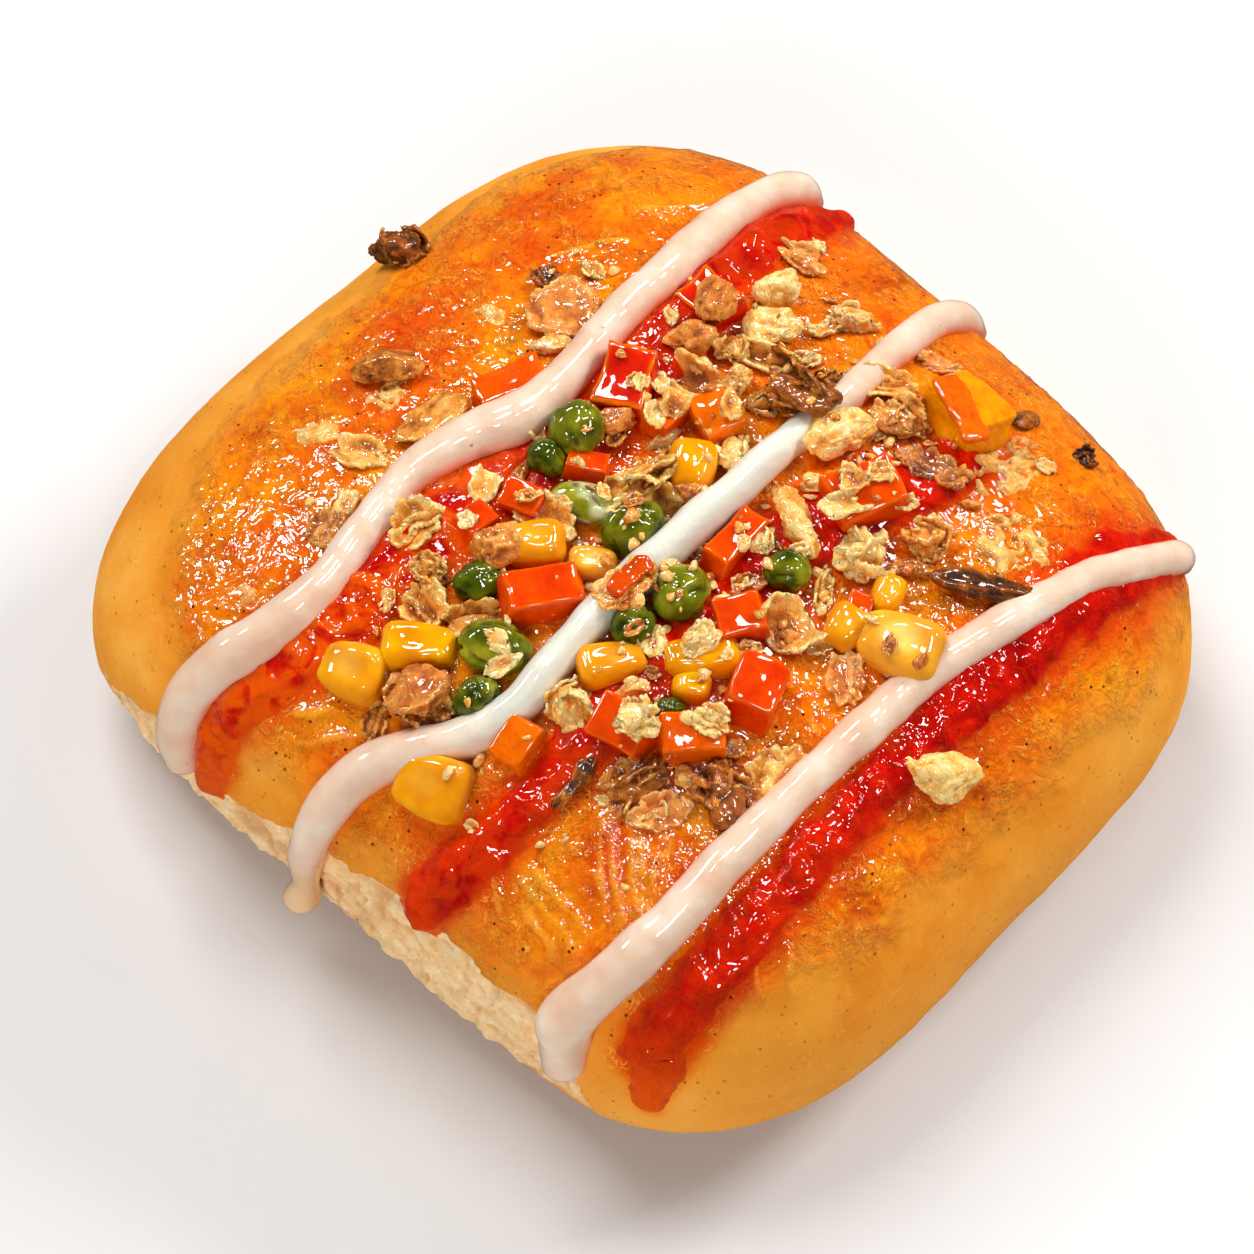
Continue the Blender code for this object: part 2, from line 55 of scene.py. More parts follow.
# The lights: how far to the right of the picture, behind the bun and above it, width, depth and
# power. LIGHTS only brighten, and GLINTS, as wide as deep, only show in wet surfaces.
LIGHTS = {
    "key": (-0.32, 0.42, 0.85, 0.50, 0.50, 7.0),
    "side": (0.74, 0.44, 0.52, 0.30, 0.30, 7.6),
    "fill": (-0.26, -0.84, 0.48, 0.60, 0.50, 4.8),
}
GLINTS = (
    (-0.50, 0.48, 0.72, 0.15, 3.6), (-0.16, 0.52, 0.84, 0.12, 2.4), (0.34, 0.50, 0.80, 0.15, 3.4),
    (-0.74, 0.30, 0.58, 0.12, 2.2), (0.10, -0.45, 0.88, 0.09, 1.3), (0.62, 0.10, 0.78, 0.10, 1.6),
    (0.02, 0.04, 1.00, 0.11, 2.0), (0.36, -0.16, 0.92, 0.10, 1.6),
)
# Every light aims at a point LIGHT_AIM above the floor from LIGHT_DISTANCE away, in metres.
LIGHT_DISTANCE = 0.9
LIGHT_AIM = 0.02
WORLD_STRENGTH = 0.09
FLOOR_HALF = 3
FLOOR_COLOUR = (0.67, 0.657, 0.648, 1.0)
RANDOM_SEED = 3

# The roll's form, with the values of the part's source. CENTRE is in the middle of its widest level.
HALF_WIDTH = 51.0 * MM
HALF_LENGTH = 49.3 * MM
TORN_HALF_LENGTH = 47.3 * MM
DOME_HEIGHT = 26.5 * MM
BELLY_DEPTH = 12.8 * MM
BASE_DEPTH = 10.2 * MM
CENTRE = np.array([0, 0, BASE_DEPTH])
PLAN_POWER = 3.4
DOME_POWER = 2.57
BELLY_POWER = 2.27
TEAR_POWER = 20.0
UNEVEN_PLAN = ((1, -0.006, -0.012), (3, 0.009, -0.008), (5, -0.009, 0.0))
SWELL = 0.55 * MM

# The grid of the roll: columns across, rows along, levels below and above the widest one, and
# the shrinking rings of the base.
COLUMNS = 200
ROWS = 190
LOW_LEVELS = 18
HIGH_LEVELS = 44
BASE_RINGS = (0.985, 0.96, 0.9, 0.7, 0.35)

# The glaze reaches GLAZE_REACH mm from GLAZE_MIDDLE across, and these far along to -Y and +Y.
GLAZE_MIDDLE = 2.5
GLAZE_REACH = (45.5, 45.5, 50.0)
GLAZE_POWER = 3.2

# Places on the glaze, as (x, y, radius) in mm and strength: redder and browned ones.
RED_PATCHES = (
    (-32, 1, 10, 0.75), (-28, -10, 7, 0.7), (-34, 17, 8, 0.45), (-25, -30, 6, 0.6), (24, -31, 5, 0.8),
    (26, 25, 7, 0.4), (27, -12, 8, 0.4), (-5, 37, 7, 0.35), (-22, 20, 6, 0.3), (12, 38, 6, 0.3),
)
BROWN_PATCHES = (
    (38.5, -6, 4, 0.9), (46, -16.5, 4.5, 0.7), (44.5, 3, 4, 0.8), (38.5, -20, 3.5, 0.6), (-4, 39, 4, 0.9),
    (-37, -18, 4, 0.4), (-36, 22, 5, 0.3),
)

# The upper edge of the torn crumb at -Y, as (x, z) in mm. The end at +Y has its mirror image.
LIP_MARKS = ((-44, 8), (-26, 17), (-14, 15), (-3, 20), (14, 22), (20, 20), (28, 20), (32, 14), (37, 2))

# Melted strings on the glaze, each from (x, y) to (x, y) in mm, and how wide they are.
STRINGS = (
    (19.8, -27, 31.5, -36.3), (21, -25, 31.4, -34), (20.6, -28.6, 29.4, -36.8),
    (22.6, -25.6, 29, -30.6), (18, -38.2, 29, -38.9), (18.6, -36.6, 28.4, -37.6),
    (20.4, -39.6, 27.5, -40.6), (15.5, -39, 19.5, -41.5), (27, -27.5, 30.5, -31),
    (-4, -38.5, -9.5, -42), (-6, -36.5, -11, -40.5), (42, -24, 46.5, -29),
    (40.5, -27, 45, -32), (-29, 15, -24, 22), (-27, 25, -22, 33),
)
STRING_WIDTH = 0.5

# The sauces, with the points of the part's source: (x, y, half width) in mm along the top, the
# drip as (x, z, half width), and the level that the line reaches on the end at +Y. Here a line
# runs on by FAR_RUN mm and narrows to a share of its width there.
FAR_RUN = 3.5
FAR_SHARE = 0.5

# A white rope: how far up it sits and how slim it is, as shares of its half width, and its mesh.
WHITE_LIFT = 0.36
WHITE_SLIM = 0.9
ROPE_STEP = 0.4
ROPE_SIDES = 40
TIP_STEPS = 8
TIP_LENGTH = 0.8

# A red ribbon's mesh: its step in mm, and how far it reaches across in half widths.
RIBBON_STEP = 0.35
RIBBON_REACH = 1.5
RIBBON_COLUMNS = 37

# The rope that lies over the heap, along y in mm.
HEAP_SPAN = (-30, 16)
HEAP_SLOPE = 8
HEAP_RISE = 1.6 * MM
WHITE_ROPES = (
    {
        "drip": ((-21, 16.5, 2.2), (-21.5, 21, 2.8)),
        "top": (
            (-21, -43, 3), (-18.5, -37.5, 2.9), (-17, -30, 2.5), (-18, -22, 2.3),
            (-19, -14.5, 2.3), (-17.5, -8, 2.7), (-15.5, -3, 2.9), (-15.5, 2.5, 2.5),
            (-16.5, 9.5, 2.4), (-17.5, 16.5, 2.3), (-18, 23, 2.4), (-19, 30, 2.3),
            (-19.5, 37, 2.2), (-19, 42, 2.2),
        ),
        "far_z": 25.5,
        "over_heap": False,
    },
    {
        "drip": ((-4, 9, 2.2), (-3.5, 13, 1.6), (-3, 19.5, 2.3)),
        "top": (
            (-2, -43.5, 2.6), (-0.5, -39.5, 2.5), (2, -36, 2.5), (4.5, -33, 2.4),
            (6.5, -29, 2.3), (7.5, -25.5, 2.2), (7, -20, 2.1), (6.5, -12.5, 2.1),
            (6.5, -4, 2.1), (6.5, 5, 2.1), (6, 13, 2), (6, 22, 1.9),
            (5, 30, 2.1), (4, 37, 2.2), (4.5, 41.5, 2.2),
        ),
        "far_z": 25,
        "over_heap": True,
    },
    {
        "drip": ((31, 16, 2.4), (30.5, 20, 2.9)),
        "top": (
            (30.5, -42.5, 3.1), (32, -38.5, 2.9), (33, -32, 2.6), (33, -23, 2.5),
            (33, -14, 2.4), (33, -4, 2.3), (33, 5.5, 2.2), (34, 12.5, 2.2),
            (35, 19, 2.1), (36, 26, 2.1), (37.5, 32.5, 2), (38, 38, 2),
        ),
        "far_z": 21.5,
        "over_heap": False,
    },
)
RED_RIBBONS = (
    {
        "drip": ((-18.5, 12.5, 1.4), (-17.5, 19, 2.6)),
        "top": (
            (-17, -43.5, 3.2), (-15, -38, 3.8), (-13.5, -31, 4.4), (-13, -22, 4.2),
            (-11.5, -13, 4.6), (-10.5, -3, 4.2), (-10, 6, 4.6), (-11.5, 15, 4.2),
            (-13.5, 24, 3.8), (-14.5, 33, 3.4), (-14.5, 40.5, 2.8),
        ),
        "far_z": 26,
        "orange": 0.9,
    },
    {
        "drip": ((11, 20.5, 1.8),),
        "top": (
            (12, -43.5, 3), (13.5, -40, 3.2), (14.5, -35, 2.9), (15, -30, 2.6),
            (15, -24, 3.4), (14.5, -12, 4.4), (14, 0, 4.8), (15.5, 11, 4.6),
            (18, 20, 4), (19.5, 28, 3.2),
        ),
        "far_z": None,
        "orange": 0.25,
    },
    {
        "drip": ((39, 13.5, 1.6), (38.5, 20, 2.8)),
        "top": (
            (38.5, -40, 3.4), (39, -33.5, 3.2), (38.5, -24, 3), (38, -12, 3.2),
            (37.5, 0, 3.4), (37, 11, 3.8), (37, 21, 4.2), (37, 30, 4.2),
            (37.5, 37, 3.4),
        ),
        "far_z": 22.5,
        "orange": 0.12,
    },
)

# How far a topping sinks into what carries it, in mm: onion flakes, and small or thin pieces.
FLAKE_SUNK = 0.25
BIT_SUNK = 0.1

# Fried onion: x, y, length, width and height in mm, heading and lean in degrees, how browned it
# is and how pink, both from 0 to 1, and its make.
ONION = (
    (-43, 7.5, 6, 5.5, 5.5, 45, 10, 0.8, 0, "cluster"),
    (-31, -7, 6, 4.2, 3, 30, 0, 0.55, 0, "nugget"),
    (-22, -8.5, 8.5, 4.2, 1.8, 84, 0, 0.38, 0, "nugget"),
    (-25, -16.5, 6.5, 3.5, 1.5, 24, 0, 0.35, 0.1, "shell"),
    (-22.5, 10, 9, 6.5, 1.8, -9, 0, 0.4, 0.6, "shell"),
    (-27, 12.5, 3.5, 2.8, 1.6, -20, 0, 0.8, 0.2, "shell"),
    (-20, 6, 3.6, 2.6, 1.4, 40, 0, 0.12, 0.3, "nugget"),
    (-21.5, -25, 5.5, 4, 1.6, 98, 0, 0.48, 0, "shell"),
    (-14, -19.5, 6.5, 5, 3, 80, 12, 0.22, 0, "shell"),
    (-12, -11.5, 3.8, 2.4, 2, 110, 10, 0.15, 0, "curl"),
    (-10.5, -9, 5, 1.5, 1.4, 107, 20, 0.5, 0, "stick"),
    (-4.5, -10, 7, 4.5, 2.6, 6, 15, 0.12, 0, "shell"),
    (-0.5, -1, 8.8, 7, 4.6, 85, 10, 0.3, 0, "cluster"),
    (-6, -16, 5, 4.2, 3.4, 65, 0, 0.42, 0.3, "nugget"),
    (-4.5, 8.5, 3.4, 2.6, 2.4, 120, 20, 0.35, 0.2, "curl"),
    (-8, 3.5, 3.6, 2.4, 2.2, 60, 30, 0.45, 0.6, "nugget"),
    (-10.5, 33.5, 5.5, 3.6, 1.6, 4, 10, 0.4, 0.6, "shell"),
    (-8, 27.5, 4.6, 3.6, 3.4, 60, 0, 0.02, 0, "nugget"),
    (-5, 23.5, 5, 4.2, 3.4, 30, 0, 0.08, 0, "nugget"),
    (-10.5, 20.5, 5.8, 4, 3.4, 93, 10, 0.48, 0.4, "nugget"),
    (-9.5, 16, 4.6, 4, 3, 60, 0, 0.4, 0.4, "nugget"),
    (-6, 12.5, 6.8, 4, 2.6, 12, 20, 0.45, 0, "curl"),
    (-6, 18.5, 3.8, 3.6, 3, 50, 0, 0.3, 0, "cluster"),
    (-3, 20, 7.5, 2.6, 2.4, 19, 25, 0.32, 0, "curl"),
    (-3, 16, 3.2, 3, 2.4, 20, 0, 0.22, 0, "nugget"),
    (-6.5, 14.5, 2.4, 2, 2, 50, 0, 0.12, 0.2, "nugget"),
    (-1, 31, 5, 3.4, 2.4, 67, 0, 0.08, 0.4, "cluster"),
    (-2, 28, 4, 2.2, 1.6, 70, 0, 0.15, 0.2, "shell"),
    (4, 18, 8.6, 5.6, 4.6, 40, 10, 0.7, 0, "cluster"),
    (0.5, 15.5, 4, 3, 3, 90, 10, 0.5, 0, "cluster"),
    (3.5, 22.5, 4, 3, 3, 20, 10, 0.62, 0, "cluster"),
    (7.5, 26.5, 8.5, 3.4, 2.4, 45, 10, 0.38, 0, "shell"),
    (9.5, 18, 6.2, 4.6, 3.6, 62, 0, 0.1, 0, "nugget"),
    (11.5, 24, 6.2, 4.6, 3.4, 32, 0, 0.4, 0.3, "cluster"),
    (8.5, 34, 5, 2.6, 1.8, 33, 10, 0.36, 0.5, "shell"),
    (19, 35.5, 3.4, 1.8, 1.6, 73, 0, 0.7, 0, "nugget"),
    (26, 38, 2.8, 2.4, 1.2, 20, 0, 0.98, 0, "cluster"),
    (23.5, 15.5, 5.6, 4.8, 3, 124, 0, 0.38, 0.3, "cluster"),
    (31.5, 16.5, 13, 3, 2, 41, 6, 0.72, 0, "stick"),
    (24.5, 12, 5.5, 2, 1.6, 50, 0, 0.5, 0, "stick"),
    (14, 7.5, 8.8, 3.2, 3, 152, 15, 0.1, 0.1, "stick"),
    (20.5, 9, 7, 4.8, 3.4, 35, 8, 0.12, 0, "cluster"),
    (21, -2, 5.6, 5.6, 4.4, 80, 20, 0.28, 0, "curl"),
    (20.5, 4, 5, 2, 2.2, 124, 10, 0.2, 0.1, "shell"),
    (17.5, 22.5, 6, 4, 1.4, 20, 0, 0.55, 0.1, "shell"),
    (20.5, 23, 4, 2.6, 1.4, 60, 0, 0.62, 0.1, "shell"),
    (16.5, 11.5, 4.6, 2.4, 1.2, 64, 0, 0.1, 0, "curl"),
    (3, 9, 5.6, 5, 3.2, 93, 10, 0.12, 0, "cluster"),
    (-5, 10, 2.6, 3.4, 2, 110, 10, 0.28, 0.1, "curl"),
    (11.5, 12.5, 3.4, 2.4, 1.8, 60, 10, 0.08, 0, "nugget"),
    (-3.5, 5.5, 3.4, 1.4, 1.4, 72, 0, 0.06, 0, "nugget"),
    (3.5, 2, 3, 2.6, 2.4, 40, 0, 0.52, 0.4, "nugget"),
    (12.5, 3, 3.6, 3, 1.8, 60, 0, 0.05, 0, "cluster"),
    (-7, -25, 6.2, 5, 3.4, -20, 10, 0.34, 0, "shell"),
    (-9.5, -22, 4, 3.4, 2.8, 60, 0, 0.38, 0, "cluster"),
    (-2.5, -23, 6.4, 3.6, 2.6, 50, 10, 0.4, 0, "shell"),
    (7.5, -11.5, 6.4, 4.6, 1.6, 88, 0, 0.32, 0.3, "shell"),
    (-0.5, -32, 7.6, 6.8, 4.4, 95, 8, 0.5, 0.6, "cluster"),
    (1.5, -31.5, 2.6, 2.2, 2.2, 60, 10, 0.3, 0.2, "curl"),
    (-3, -36.5, 4.2, 2.8, 2, 110, 10, 0.48, 0, "shell"),
    (11.5, -23.5, 5.6, 5, 4, 100, 15, 0.16, 0, "cluster"),
    (19, -21.5, 5.2, 4, 2.8, -10, 8, 0.04, 0, "cluster"),
    (17.5, -28.5, 6.8, 2.2, 2, 93, 10, 0.62, 0, "stick"),
    (21.5, -24.5, 7.6, 3.8, 2.6, 62, 10, 0.6, 0.1, "cluster"),
    (25.5, -25, 6, 4, 2, 60, 8, 0.28, 1, "shell"),
    (28.5, -19.5, 8.2, 4.6, 3, 140, 12, 0.72, 0.2, "cluster"),
    (31, -14, 6.6, 6, 2.6, 90, 8, 0.22, 0, "shell"),
    (4, -25, 4, 1.6, 1.5, 83, 10, 0.1, 0, "curl"),
    (13, -13, 3.2, 3, 1.2, 104, 10, 0.04, 0, "shell"),
    (16.5, -10, 5, 3.4, 2, 70, 0, 0, 0, "cluster"),
    (23.5, -16, 4.2, 3.4, 1.6, 10, 10, 0.06, 0.2, "shell"),
    (25, -20.5, 3.2, 2.4, 1.5, 40, 0, 0.18, 0, "nugget"),
    (15, -19, 2.8, 2, 2, 60, 0, 0.22, 0, "nugget"),
    (20.5, -7.5, 3.2, 2.6, 1.4, 40, 10, 0.16, 0, "shell"),
    (28.5, -1.5, 6.2, 3.8, 1.6, 140, 0, 0.26, 0.8, "shell"),
    (40.8, -1.3, 6.6, 4.4, 3.4, 50, 0, 0.1, 0, "nugget"),
    (-22, -21.5, 3.2, 1.8, 1.2, 110, 0, 0.16, 0.2, "curl"),
)

# How pale each pea and kernel is, and how orange or gold each dice, in the order of the nodes.
PEA_TONES = (0.45, 0.1, 1.4, 0.2, 0.2, 0.6, 0.3, 0.15, 0.55, 0.2, 0.1, 0)
CORN_TONES = (0.2, 0, 0.1, 0, 0.1, 0, 0.1, 0.9, 0.1, 0.1, 0.8, 0)
CARROT_TONES = (0.35, 0.05, 0.1, 1, 0.4, 0.1, 0.15, 0.05, 0, 0.1, 0.5, 0.9, 0, 0.1, 0.3)
PEPPER_TONES = (0, 0, 0.9)

# Strips of red pepper skin: x, y, length, width and height in mm, heading, and how orange.
RED_STRIPS = ((7.2, -10.6, 4.6, 2.2, 0.8, 88, 0.2), (16.4, 28.7, 8.6, 3.2, 0.9, -24, 0.35))

# Thin onion skins that cling to the glaze, as the onion above without its lean and make.
SKINS = (
    (22.5, 29, 9, 5.5, 1, 80, 0.24, 0.2),
    (29, 23, 9.5, 8, 1, 20, 0.22, 0.1),
    (-23.5, -36, 5, 4.2, 0.9, 60, 0.26, 0.8),
    (-31, -17, 5.5, 3.2, 0.8, 40, 0.16, 0.1),
    (-28.5, -9.5, 6.5, 4, 0.8, 90, 0.2, 0.2),
    (-28, 5, 5, 3, 0.7, 0, 0.2, 0.3),
    (22, 33, 5, 4, 0.8, 50, 0.3, 0.3),
)

# Onion crumbs and small flakes: how many, over which part of the heap, and the sizes in mm.
CRUMBS = 210
FLAKES = 90
CRUMB_MIDDLE = (7, 1)
CRUMB_SPREAD = (13, 17)
CRUMB_SIZES = (0.6, 2)
FLAKE_SIZES = (1.4, 3.6)
CRUMB_LIMITS = (38, 40)
CRUMB_TONES = (0, 0.08, 0.15, 0.3, 0.5)
CRUMB_CUTS = 3
FLAKE_CUTS = 11

# Two normals are alike when their product is over the first, and square when it is under the second.
ALIKE = 0.985
SQUARE = 0.2

# Heights are felt for from here, in metres.
PROBE_HEIGHT = 0.1


def unit(v):
    return v / np.maximum(np.linalg.norm(v, axis=-1, keepdims=True), 1e-12)


def smooth(low, high, x):
    """A soft step: 0 up to low and 1 from high on."""
    t = np.clip((x - low) / (high - low), 0, 1)
    return t * t * (3 - 2 * t)


def hashed(cell, seed):
    """A repeatable random number from 0 to 1 for each whole-number cell."""
    h = cell[..., 0] * 374761393 + cell[..., 1] * 668265263 + cell[..., 2] * 1440662683
    h = h + seed * 144665
    h = (h ^ (h >> 13)) * 1274126177
    return ((h ^ (h >> 16)) & 0xFFFFFF) / 0xFFFFFF


def noise(p, seed):
    """Smooth noise from -1 to 1 with one lump to a unit."""
    cell = np.floor(p).astype(np.int64)
    f = p - cell
    f = f * f * f * (f * (f * 6 - 15) + 10)
    total = np.zeros(len(p))
    for corner in np.ndindex(2, 2, 2):
        c = np.array(corner)
        weight = np.prod(np.where(c == 1, f, 1 - f), axis=1)
        total += weight * hashed(cell + c, seed)
    return total * 2 - 1


def layered(p, octaves, seed):
    """Noise from -1 to 1 with finer lumps on its lumps."""
    total, amount = np.zeros(len(p)), 1.0
    for i in range(octaves):
        total += amount * noise(p * 2.03**i, seed + i)
        amount *= 0.5
    return total / (2 - 2 * amount)


def ridged(p, octaves, seed):
    """Noise from 0 to 1 with thin crests."""
    total, amount = np.zeros(len(p)), 1.0
    for i in range(octaves):
        total += amount * (1 - np.abs(noise(p * 2.03**i, seed + i))) ** 3
        amount *= 0.5
    return total / (2 - 2 * amount)


def warps(p, seed):
    """Smooth shifts, one for each point."""
    return np.stack([layered(p, 2, seed + k) for k in range(3)], axis=1)


def hollows(p, seed):
    """Distance to the nearest of points scattered one to a unit."""
    cell = np.floor(p).astype(np.int64)
    near = np.full(len(p), 9.0)
    for shift in np.ndindex(3, 3, 3):
        c = cell + np.array(shift) - 1
        spot = c + np.stack([hashed(c, seed + k) for k in (1, 2, 3)], axis=1)
        near = np.minimum(near, np.linalg.norm(p - spot, axis=1))
    return near


# Form of the roll


def plan_share(x, y):
    angle = np.arctan2(y / HALF_LENGTH, x / HALF_WIDTH)
    uneven = 1.0 + sum(c * np.cos(k * angle) + s * np.sin(k * angle) for k, c, s in UNEVEN_PLAN)
    plan = np.abs(x / HALF_WIDTH) ** PLAN_POWER + np.abs(y / HALF_LENGTH) ** PLAN_POWER
    return plan ** (1 / PLAN_POWER) / uneven


def roll_size(p):
    """How far points, measured from the widest level, are out to the roll's skin, as a share."""
    x, y, z = p[:, 0], p[:, 1], p[:, 2]
    plan = plan_share(x, y)
    dome = (plan**DOME_POWER + np.abs(z / DOME_HEIGHT) ** DOME_POWER) ** (1 / DOME_POWER)
    belly = (plan**BELLY_POWER + np.abs(z / BELLY_DEPTH) ** BELLY_POWER) ** (1 / BELLY_POWER)
    size = np.where(z >= 0, dome, belly)
    torn = np.abs(y) / TORN_HALF_LENGTH
    return (size**TEAR_POWER + torn**TEAR_POWER) ** (1 / TEAR_POWER)


def top_height(x, y):
    """Height of the bare dome above (x, y)."""
    torn = np.clip(np.abs(y) / TORN_HALF_LENGTH, 0, 0.9999)
    room = (1 - torn**TEAR_POWER) ** (DOME_POWER / TEAR_POWER) - plan_share(x, y) ** DOME_POWER
    return BASE_DEPTH + DOME_HEIGHT * np.maximum(room, 0) ** (1 / DOME_POWER)


def top_at(x, y):
    return np.array([x, y, float(top_height(np.array([x]), np.array([y]))[0])])


def end_at(x, z, side):
    """The point of the torn end, at -Y or +Y, at (x, z)."""
    low, high = 0.0, HALF_LENGTH
    for _ in range(24):
        middle = (low + high) / 2
        inside = roll_size(np.array([[x, middle, z - BASE_DEPTH]]))[0] < 1
        low, high = (middle, high) if inside else (low, middle)
    return np.array([x, side * low, z])


def outward(p, step=0.2 * MM):
    """The bare roll's outward normals at points of its skin."""
    at = p - CENTRE
    slope = [roll_size(at + step * axis) - roll_size(at - step * axis) for axis in np.eye(3)]
    return unit(np.stack(slope, axis=1))


def tear_share(p):
    """1 on a torn end, 0 on the crust."""
    at = p - CENTRE
    torn = (np.abs(at[:, 1]) / TORN_HALF_LENGTH / roll_size(at)) ** TEAR_POWER
    return smooth(0.15, 0.30, torn)


# Meshes


def build_mesh(name, points, faces, values, material):
    """An object from an array of points, faces and the values of its points."""
    mesh = bpy.data.meshes.new(name)
    mesh.from_pydata(points.tolist(), [], faces if isinstance(faces, list) else faces.tolist())
    for key, value in values.items():
        layer = mesh.attributes.new(key, "FLOAT", "POINT")
        layer.data.foreach_set("value", np.asarray(value, np.float32))
    mesh.polygons.foreach_set("use_smooth", [True] * len(mesh.polygons))
    mesh.update()
    mesh.materials.append(material)
    obj = bpy.data.objects.new(name, mesh)
    bpy.context.scene.collection.objects.link(obj)
    return obj


def grid_quads(rows, columns, closed=False):
    """Quads between neighbouring rows of points, where closed also joins the ends of a row. Each
    has two points of one row and then two of the next, the last one below the first."""
    i, j = np.meshgrid(np.arange(rows - 1), np.arange(columns if closed else columns - 1), indexing="ij")
    i, j = i.ravel() * columns, j.ravel()
    k = (j + 1) % columns
    return np.stack([i + j, i + k, i + columns + k, i + columns + j], axis=1)


def arrays_of(shape):
    """The points and faces of a bmesh, which is then freed."""
    points = np.array([v.co for v in shape.verts])
    faces = np.array([[v.index for v in f.verts] for f in shape.faces])
    shape.free()
    return points, faces


def gridded_cube(cuts):
    """Points and quads of a cube from -1 to 1."""
    shape = bmesh.new()
    bmesh.ops.create_cube(shape, size=2.0)
    bmesh.ops.subdivide_edges(shape, edges=shape.edges[:], cuts=cuts, use_grid_fill=True)
    return arrays_of(shape)


def join(pieces):
    """The points, faces and values of one mesh from those of its pieces."""
    points, faces, values, start = [], [], {}, 0
    for p, f, v in pieces:
        points.append(p)
        faces.append(f + start)
        start += len(p)
        for key, value in v.items():
            values.setdefault(key, []).append(np.broadcast_to(value, len(p)))
    return np.vstack(points), np.vstack(faces), {k: np.concatenate(v) for k, v in values.items()}


def box_lattice():
    """Points and quads of the faces of a cube from -1 to 1, without its bottom face, and the
    loop of points round its bottom edge."""
    across = np.linspace(-1, 1, COLUMNS + 1)
    along = np.linspace(-1, 1, ROWS + 1)
    level = np.concatenate([np.linspace(-1, 0, LOW_LEVELS + 1)[:-1], np.linspace(0, 1, HIGH_LEVELS + 1)])
    levels = len(level) - 1
    index, points, quads = {}, [], []

    def corner(i, j, k):
        if (i, j, k) not in index:
            index[i, j, k] = len(points)
            points.append((across[i], along[j], level[k]))
        return index[i, j, k]

    for i in range(COLUMNS):
        for j in range(ROWS):
            square = ((i, j), (i + 1, j), (i + 1, j + 1), (i, j + 1))
            quads.append([corner(*c, levels) for c in square])
    for k in range(levels):
        for i in range(COLUMNS):
            square = ((i, k), (i + 1, k), (i + 1, k + 1), (i, k + 1))
            quads.append([corner(a, 0, b) for a, b in square])
            quads.append([corner(a, ROWS, b) for a, b in reversed(square)])
        for j in range(ROWS):
            square = ((j, k), (j + 1, k), (j + 1, k + 1), (j, k + 1))
            quads.append([corner(COLUMNS, a, b) for a, b in square])
            quads.append([corner(0, a, b) for a, b in reversed(square)])
    rim = [(i, 0) for i in range(COLUMNS)] + [(COLUMNS, j) for j in range(ROWS)]
    rim += [(i, ROWS) for i in range(COLUMNS, 0, -1)] + [(0, j) for j in range(ROWS, 0, -1)]
    return points, quads, [corner(i, j, 0) for i, j in rim]


def roll_lattice():
    """The points of a cube and its faces, the bottom one as rings that shrink to the middle."""
    points, faces, rim = box_lattice()
    outer = rim
    for ring in BASE_RINGS:
        inner = range(len(points), len(points) + len(rim))
        points += [(points[i][0] * ring, points[i][1] * ring, -1.0) for i in rim]
        for i in range(len(rim)):
            faces.append([outer[i], inner[i], inner[i - 1], outer[i - 1]])
        outer = list(inner)
    points.append((0.0, 0.0, -1.0))
    faces += [[outer[i], len(points) - 1, outer[i - 1]] for i in range(len(rim))]
    return np.array(points), faces


# Sauce lines


def smooth_route(points, step):
    """Points about step apart along a Catmull-Rom curve through the given ones."""
    padded = np.vstack([points[:1], points, points[-1:]])
    route = []
    for before, start, end, after in zip(padded, padded[1:], padded[2:], padded[3:]):
        steps = max(1, round(np.linalg.norm((end - start)[:3]) / step))
        for t in np.arange(steps) / steps:
            route.append(0.5 * (
                2 * start + (end - before) * t
                + (2 * before - 5 * start + 4 * end - after) * t**2
                + (3 * start - before - 3 * end + after) * t**3
            ))
    return np.array(route + [points[-1]])


def along_route(route, reach=7):
    """Directions along a route, each smoothed over its neighbours."""
    ahead = np.pad(np.gradient(route, axis=0), ((reach, reach), (0, 0)), mode="edge")
    kernel = np.hanning(2 * reach + 3)[1:-1]
    return unit(np.stack([np.convolve(ahead[:, k], kernel, "valid") for k in range(3)], axis=1))


def sauce_route(line, step):
    """Points on the roll and half widths along a line of sauce, drip first."""
    marks = [(*end_at(x * MM, z * MM, -1), w * MM) for x, z, w in line["drip"]]
    marks += [(*top_at(x * MM, y * MM), w * MM) for x, y, w in line["top"]]
    if line["far_z"]:
        last_x, _, last_w = line["top"][-1]
        marks.append((*end_at(last_x * MM, (line["far_z"] - FAR_RUN) * MM, 1), last_w * MM * FAR_SHARE))
    route = smooth_route(np.array(marks), step)
    return route[:, :3], route[:, 3]


def line_share(points, line, step=0.8 * MM):
    """Distance from a sauce line as a share of its half width."""
    share = np.full(len(points), 99.0)
    for spot, width in zip(*sauce_route(line, step)):
        share = np.minimum(share, np.linalg.norm(points - spot, axis=1) / width)
    return share


# Materials. Colours are the 0 to 255 values that a picture shows, and sizes are in mm.


def linear(colour):
    """The linear colour that Blender's nodes take."""
    return tuple((c / 255 / 12.92 if c <= 10 else ((c / 255 + 0.055) / 1.055) ** 2.4) for c in colour)


